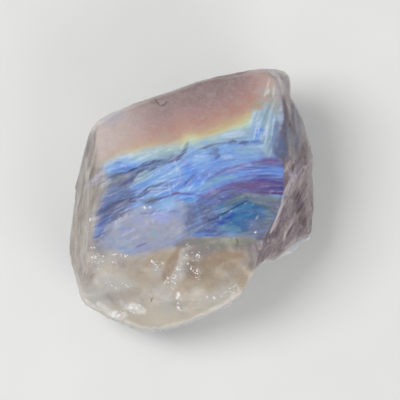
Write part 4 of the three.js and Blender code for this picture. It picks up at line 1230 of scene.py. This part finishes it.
class Feldspar(Bench):
    """Milky feldspar: frosted, silky with flash (painted sheen), or glassy, by where it is on the
    stone.
    """

    def __init__(self):
        super().__init__("feldspar_moonstone")
        metres = self.node("ShaderNodeTexCoord").outputs["Object"]
        self.place = self.stretch(metres, (1 / MM,) * 3)
        apart = self.node("ShaderNodeSeparateXYZ")
        self.feed(apart.inputs[0], self.place)
        self.x, self.y, self.z = apart.outputs
        self.grain = self.vector("grain")
        self.cloud = self.noise(self.place, 0.35, 5)
        self.fine_cloud = self.noise(self.place, 1.6, 5, 0.6)
        self.speckle = self.noise(self.place, 7.0, 3, 0.7)
        self.threads = self.noise(self.stretch(self.grain, (0.3, 8.0, 0.5)), 1.0, 4, 0.65)
        self.shards = self.slanting(28, (3.0, 0.22, 0.2), 5, 0.6)

    def slanting(self, degrees, scale, detail, roughness=0.55):
        """Noise drawn out along a direction that is turned from the long way of the stone."""
        return self.noise(self.stretch(self.turned(self.place, degrees), scale), 1.0, detail,
                          roughness)

    def run(self, value, name):
        return self.ramp(value, [(place, tone(*shade)) for place, shade in RUNS[name]])

    def tint(self, colour, share, name):
        return self.mix(share, colour, tone(*TINTS[name]))

    def body(self):
        """The milky body, which the sides and the back show plainly."""
        body = self.run(self.cloud, "body")
        plates, _ = self.cells(self.stretch(self.turned(self.place, 25), (0.5, 0.9, 0.6)))
        plate, _ = self.draws(plates)
        body = self.tint(body, self.range(plate, 0.5, 1.0, 0.0, 0.25), "pale_plate")
        body = self.tint(body, self.range(plate, 0.5, 0.0, 0.0, 0.25), "dark_plate")
        veins = self.noise(self.stretch(self.place, (0.35, 0.35, 1.6)), 1.0, 5, 0.6, 0.6)
        body = self.tint(body, self.range(veins, 0.42, 0.28, 0.0, 0.3), "vein")
        return self.tint(body, self.range(self.fine_cloud, 0.55, 0.75, 0.0, 0.5), "milky_cloud")

    def frosted(self):
        """Rose near the rainbow line, greyer towards the far rim."""
        crest = self.measure("crest")
        frost = self.run(self.range(crest, -4.0, 0.0, smooth=False), "frost")
        frost = self.tint(frost, self.range(self.x, -1.5, -7.5, 0.0, 0.95), "worn_frost")
        frost = self.tint(frost, self.range(self.fine_cloud, 0.45, 0.7, 0, 0.3), "frost_cloud")
        frost = self.tint(frost, self.range(self.speckle, 0.5, 0.7, 0, 0.16), "frost_speck")
        return self.tint(frost, self.range(self.speckle, 0.5, 0.3, 0, 0.16), "frost_pit")

    def blue(self):
        silk = self.noise(self.stretch(self.grain, (0.16, 1.5, 0.3)), 1.0, 5, 0.6)
        return self.run(silk, "blue")

    def glassy(self):
        cream = self.run(self.noise(self.place, 0.55, 5, 0.6, 0.5), "cream")
        wisps = self.noise(self.place, 0.7, 5, 0.6, 0.8)
        cream = self.tint(cream, self.range(wisps, 0.5, 0.7, 0.0, 0.5), "pale_wisp")
        return self.tint(cream, self.range(wisps, 0.46, 0.3, 0.0, 0.3), "dark_wisp")

    def faces(self):
        """The three upper faces, with the rainbow line between the frost and the blue, both painted
        sheen.
        """
        crest = self.measure("crest")
        soft_edge = self.times(self.measure("glass"), self.range(self.x, -1.6, 0.2, 0.16, 1.0))
        lower = self.mix(self.range(soft_edge, -0.06, 0.1), self.blue(), self.glassy())
        top = self.mix(self.range(crest, -0.4, 0.5), self.frosted(), lower)
        rainbow = self.run(self.range(crest, -1.2, 1.6, smooth=False), "rainbow")
        share = self.times(self.range(crest, -1.0, -0.2), self.range(crest, 1.5, 0.6),
                           self.range(self.x, -8.0, -2.5, 0.2, 0.92),
                           self.range(self.x, 4.2, 5.6, 1.0, 0.35))
        return self.mix(share, top, rainbow)

    def washed(self, top, names):
        for name in names:
            top = self.mix(self.measure("wash_" + name), top, tone(*WASH_TONES[name]))
        return top

    def hazed(self, top):
        haze = self.measure("wash_haze")
        mottle = self.noise(self.place, 2.6, 5, 0.7, 0.3)
        pale = self.times(haze, self.range(mottle, 0.5, 0.66, 0, 0.6))
        top = self.tint(top, pale, "pale_haze")
        blue = self.times(haze, self.range(mottle, 0.48, 0.34, 0, 0.5))
        return self.tint(top, blue, "blue_haze")

    def silked(self, top):
        """Grit, a play of green and mauve painted as sheen, and fine threads along the grain of the
        blue face.
        """
        silky = self.measure("silky")
        slate = self.measure("wash_slate")
        teal = self.measure("wash_teal")
        grit = self.noise(self.place, 4.2, 5, 0.75, 0.3)
        gritty = self.times(silky, self.range(slate, 0.0, 0.7, 0.3, 0.75))
        top = self.tint(top, self.times(gritty, self.range(grit, 0.5, 0.68, 0.0, 0.5)),
                        "pale_grit")
        top = self.tint(top, self.times(gritty, self.range(grit, 0.48, 0.32, 0.0, 0.5)),
                        "dark_grit")
        play = self.noise(self.stretch(self.grain, (0.5, 1.3, 0.5)), 1.0, 5, 0.7, 0.4)
        plain = self.times(silky, self.range(teal, 0, 0.8, 1, 0.2))
        top = self.tint(top, self.times(plain, self.range(play, 0.53, 0.68, 0.0, 0.3)),
                        "green_play")
        top = self.tint(top, self.times(plain, self.range(play, 0.47, 0.32, 0.0, 0.3)),
                        "mauve_play")
        patches = self.noise(self.stretch(self.grain, (0.35, 0.8, 0.4)), 1.0, 3)
        patches = self.times(silky, self.range(patches, 0.38, 0.6, 0.25, 1.0))
        deep = self.most(slate, self.measure("wash_deep"), teal, self.measure("wash_stone_grey"))
        pale = self.times(self.range(self.threads, 0.53, 0.64, 0.0, 0.32),
                          self.range(deep, 0.0, 0.8, 1.0, 0.35))
        top = self.tint(top, self.times(patches, pale), "pale_thread")
        dark = self.range(self.threads, 0.44, 0.36, 0.0, 0.4)
        return self.tint(top, self.times(patches, dark), "dark_thread")

    def combed(self, top):
        """The needles of the tuft where the blue face meets the ridge."""
        tuft = self.measure("wash_tuft")
        needles = self.slanting(20, (4.2, 0.3, 0.6), 4, 0.6)
        top = self.tint(top, self.times(tuft, self.range(needles, 0.5, 0.66, 0.0, 0.6)),
                        "pale_needle")
        return self.tint(top, self.times(tuft, self.range(needles, 0.48, 0.34, 0.0, 0.5)),
                         "dark_needle")

    def bevelled(self, top):
        """The striated left bevel, darker and brownish high up."""
        bevel = self.measure("bevel")
        striae = self.slanting(12, (2.6, 0.22, 0.8), 5, 0.6)
        fine_striae = self.slanting(12, (7.0, 0.5, 1.6), 4)
        shade = self.run(striae, "bevel")
        shade = self.tint(shade, self.range(fine_striae, 0.55, 0.38, 0.0, 0.35), "bevel_scratch")
        high_up = self.times(self.range(self.y, -2.5, 1.5),
                             self.range(bevel, -0.1, 0.5, 0.15, 0.6))
        high_shade = self.mix(self.range(striae, 0.42, 0.58), tone(*TINTS["high_bevel_dark"]),
                              tone(*TINTS["high_bevel_pale"]))
        shade = self.mix(high_up, shade, high_shade)
        share = self.times(self.range(bevel, -0.85, 0.35),
                           self.range(self.y, -7.4, -5.6, 0.1, 1.0))
        return self.mix(share, top, shade)

    def flanked(self, top):
        """The splintery right flank, its dark tone partly painted shade, with pale shards in its
        lower part.
        """
        shade = self.run(self.noise(self.stretch(self.place, (1.6, 0.5, 0.5)), 1.0, 5, 0.65),
                         "flank")
        sharded = self.range(self.y, 4.4, 2.6, 0.25, 1.0)
        shade = self.tint(shade, self.times(sharded, self.range(self.shards, 0.56, 0.67, 0.0, 0.6)),
                          "pale_shard")
        shade = self.tint(shade, self.times(sharded, self.range(self.shards, 0.44, 0.32, 0.0, 0.3)),
                          "dark_shard")
        shade = self.tint(shade, self.range(self.y, -0.6, -2.6, 0.0, 0.6), "low_flank")
        shade = self.tint(shade, self.range(self.y, 8.0, 9.6, 0.0, 0.8), "top_flank")
        share = self.times(self.range(self.measure("ridge"), -0.05, 0.15),
                           self.range(self.y, -5.4, -4.0))
        return self.mix(share, top, shade)

    def outer_flank(self, body):
        """The flank's darker tone, partly painted shade, carried a little way down the side, with a
        wavy end.
        """
        sway = self.times(self.less(self.cloud, 0.5), 4.0)
        share = self.times(self.range(self.plus(self.z, sway), 1.4, 4.6, 0.0, 0.9),
                           self.range(self.plus(self.y, sway), -3.8, -1.2))
        shade = self.mix(self.range(self.fine_cloud, 0.4, 0.62), tone(*TINTS["outer_dark"]),
                         tone(*TINTS["outer_pale"]))
        return self.mix(self.times(self.measure("flank"), share), body, shade)

    def marked(self, skin):
        breakup = self.noise(self.stretch(self.grain, (0.7, 4.0, 0.8)), 1.0, 4)
        worn = self.range(breakup, 0.3, 0.6, 0.5, 1.0)
        milky = self.range(self.fine_cloud, 0.35, 0.6, 0.45, 1.0)
        cloudy = self.range(self.fine_cloud, 0.3, 0.6, 0.7, 1.0)
        broken = self.range(self.shards, 0.4, 0.54, 0.25, 1.0)
        for name, shade in MARK_TONES.items():
            share = self.measure(name)
            if name == "milk_and_highlight":
                share = self.times(share, milky)
            elif name == "sliver":
                share = self.times(share, broken)
            elif name in CLOUDY:
                share = self.times(share, cloudy)
            elif name != "dirt":
                share = self.times(share, worn)
            skin = self.mix(share, skin, tone(*shade))
        return skin

    def worn_edges_and_shaded_hollows(self, skin):
        """Bruised edges are whiter, and hollows are darkened with painted shade."""
        edge = self.measure("edge")
        glassy = self.measure("glassy")
        clear = self.most(self.times(self.measure("flash"), 0.75), self.times(glassy, 0.75))
        bruised = self.times(self.range(edge, 0.012, 0.06, 0.0, 0.5), self.less(1.0, clear))
        skin = self.tint(skin, bruised, "bruise")
        spared = self.most(glassy, self.measure("splinter"))
        # painted shade in the hollows
        hollow = self.times(self.range(edge, -0.012, -0.05, 0.0, 0.35),
                            self.range(spared, 0.0, 1.0, 1.0, 0.25))
        return self.tint(skin, hollow, "hollow")

    def sparkling(self, skin):
        """Painted glints: the shattered patches as many small bright splinters, and the single
        facets.
        """
        cell_place = self.stretch(self.turned(self.place, 34), (4.4, 8.0, 4.4))
        splinters, distance = self.cells(cell_place, metric="MANHATTAN")
        draw, second_draw = self.draws(splinters)
        reach = self.range(self.times(draw, draw), 0.0, 0.7, 0.18, 0.72, smooth=False)
        lit = self.times(self.range(self.less(reach, distance), 0.0, 0.14),
                         self.measure("shattered"))
        lit = self.times(self.range(lit, 0.08, 0.5), self.range(second_draw, 0.0, 0.7, 0.35, 1.0))
        skin = self.mix(lit, skin, SPARK)
        return self.mix(self.measure("glint"), skin, FACET_SPARK)

    def colour(self):
        top = self.faces()
        top = self.washed(top, [name for name in WASH_TONES if name not in FLANK_WASHES])
        top = self.combed(self.silked(self.hazed(top)))
        top = self.flanked(self.bevelled(top))
        top = self.washed(top, FLANK_WASHES)
        skin = self.mix(self.measure("cover"), self.outer_flank(self.body()), top)
        # painted rim light along the upper rim
        skin = self.tint(skin, self.times(self.measure("rim"), 0.45), "rim")
        return self.sparkling(self.worn_edges_and_shaded_hollows(self.marked(skin)))

    def fine_relief(self):
        """Relief that the mesh is too coarse for."""
        glassy = self.measure("glassy")
        frost_grain = self.noise(self.place, 9.0, 4, 0.7)
        _, chip = self.cells(self.place, scale=2.4)
        height = self.plus(self.times(frost_grain, self.range(glassy, 0.0, 1.0, 0.35, 0.08)),
                           self.times(self.threads, self.times(self.measure("silky"), 0.7)),
                           self.times(chip, self.times(glassy, 0.5)))
        bump = self.node("ShaderNodeBump")
        bump.inputs["Strength"].default_value = BUMP_STRENGTH
        bump.inputs["Distance"].default_value = BUMP_DEPTH
        self.feed(bump.inputs["Height"], height)
        return bump.outputs["Normal"]

    def roughness(self):
        rough = self.less(self.range(self.measure("frosted"), 0.0, 1.0, 0.36, 0.52),
                          self.times(self.measure("glassy"), 0.04),
                          self.times(self.measure("splinter"), 0.12),
                          self.times(self.measure("side"), 0.1))
        return self.plus(rough, self.range(self.fine_cloud, 0.3, 0.7, -0.05, 0.08))

    def polish(self):
        polish = self.plus(self.times(self.measure("glassy"), 0.15),
                           self.times(self.measure("splinter"), 0.28),
                           self.times(self.measure("side"), 0.55))
        return self.math("ADD", polish, self.times(self.measure("silky"), 0.05), clamp=True)

    def made(self):
        shader = self.node("ShaderNodeBsdfPrincipled")
        self.feed(shader.inputs["Base Color"], self.colour())
        self.feed(shader.inputs["Roughness"], self.roughness())
        self.feed(shader.inputs["Normal"], self.fine_relief())
        self.feed(shader.inputs["Subsurface Weight"],
                  self.range(self.measure("flash"), 0.0, 1.0, 0.6, 0.12))
        self.feed(shader.inputs["Coat Weight"], self.polish())
        shader.inputs["IOR"].default_value = FELDSPAR_IOR
        shader.inputs["Subsurface Radius"].default_value = GLOW_COLOURS
        shader.inputs["Subsurface Scale"].default_value = GLOW_DEPTH
        shader.inputs["Coat Roughness"].default_value = COAT_ROUGHNESS
        return self.finish(shader)


# ---------------------------------------------------------------- floor, light and camera

FLOOR_REACH = 3.0             # half the width of the floor, m
FLOOR_GRAIN = 60              # cycles of its mottling per m
FLOOR_TONES = [(0.3, (0.70, 0.70, 0.69, 1)), (0.7, (0.74, 0.74, 0.73, 1))]
FLOOR_ROUGHNESS = 0.9
SKY_STRENGTH = 0.5
SOFT_LIGHTS = {               # place in m, width in m, power in W
    "key": ((-0.15, 0.07, 0.24), 0.16, 0.5),
    "fill": ((0.16, -0.2, 0.16), 0.2, 0.26),
}
LIT_PLACE = (0, 0, 0.005)     # the middle of the stone, where the lights point
FIELD = 32.0 * MM             # width of what the camera sees at the widest line
LENS = 400.0                  # mm
SENSOR = 36.0                 # mm
WIDEST = 5.0 * MM             # height of the stone's widest line
AIM = (0.615 * MM, 0.105 * MM)


def studio_floor():
    sheet = bmesh.new()
    bmesh.ops.create_grid(sheet, x_segments=1, y_segments=1, size=FLOOR_REACH)
    mesh = bpy.data.meshes.new("studio_floor")
    sheet.to_mesh(mesh)
    sheet.free()
    floor = bpy.data.objects.new("studio_floor", mesh)
    bpy.context.collection.objects.link(floor)
    bench = Bench("floor_paper")
    paper = bench.node("ShaderNodeBsdfPrincipled")
    place = bench.node("ShaderNodeTexCoord").outputs["Object"]
    mottling = bench.ramp(bench.noise(place, FLOOR_GRAIN, 3), FLOOR_TONES)
    bench.feed(paper.inputs["Base Color"], mottling)
    paper.inputs["Roughness"].default_value = FLOOR_ROUGHNESS
    floor.data.materials.append(bench.finish(paper))
    return floor


def soft_light(name, place, size, power):
    lamp = bpy.data.lights.new(name, "AREA")
    lamp.shape = "DISK"
    lamp.size = size
    lamp.energy = power
    holder = bpy.data.objects.new(name, lamp)
    holder.location = place
    holder.rotation_euler = (Vector(LIT_PLACE) - Vector(place)).to_track_quat("-Z", "Y").to_euler()
    bpy.context.collection.objects.link(holder)


def camera():
    lens = bpy.data.cameras.new("camera")
    lens.lens = LENS
    lens.sensor_width = SENSOR
    lens.clip_start = 0.01
    lens.clip_end = 10
    holder = bpy.data.objects.new("camera", lens)
    holder.location = (AIM[0], AIM[1], WIDEST + FIELD * LENS / SENSOR)
    bpy.context.collection.objects.link(holder)
    bpy.context.scene.camera = holder


def studio():
    world = bpy.data.worlds.new("studio")
    world.use_nodes = True
    sky = world.node_tree.nodes["Background"]
    sky.inputs["Color"].default_value = (1, 1, 1, 1)
    sky.inputs["Strength"].default_value = SKY_STRENGTH
    bpy.context.scene.world = world
    for name, (place, size, power) in SOFT_LIGHTS.items():
        soft_light(name, place, size, power)
    bpy.context.scene.view_settings.view_transform = "Standard"
    bpy.context.scene.view_settings.look = "None"


stone = build_stone()
stone.data.materials.append(Feldspar().made())
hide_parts("moonstone")
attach(stone, "root")
floor = studio_floor()
camera()
studio()
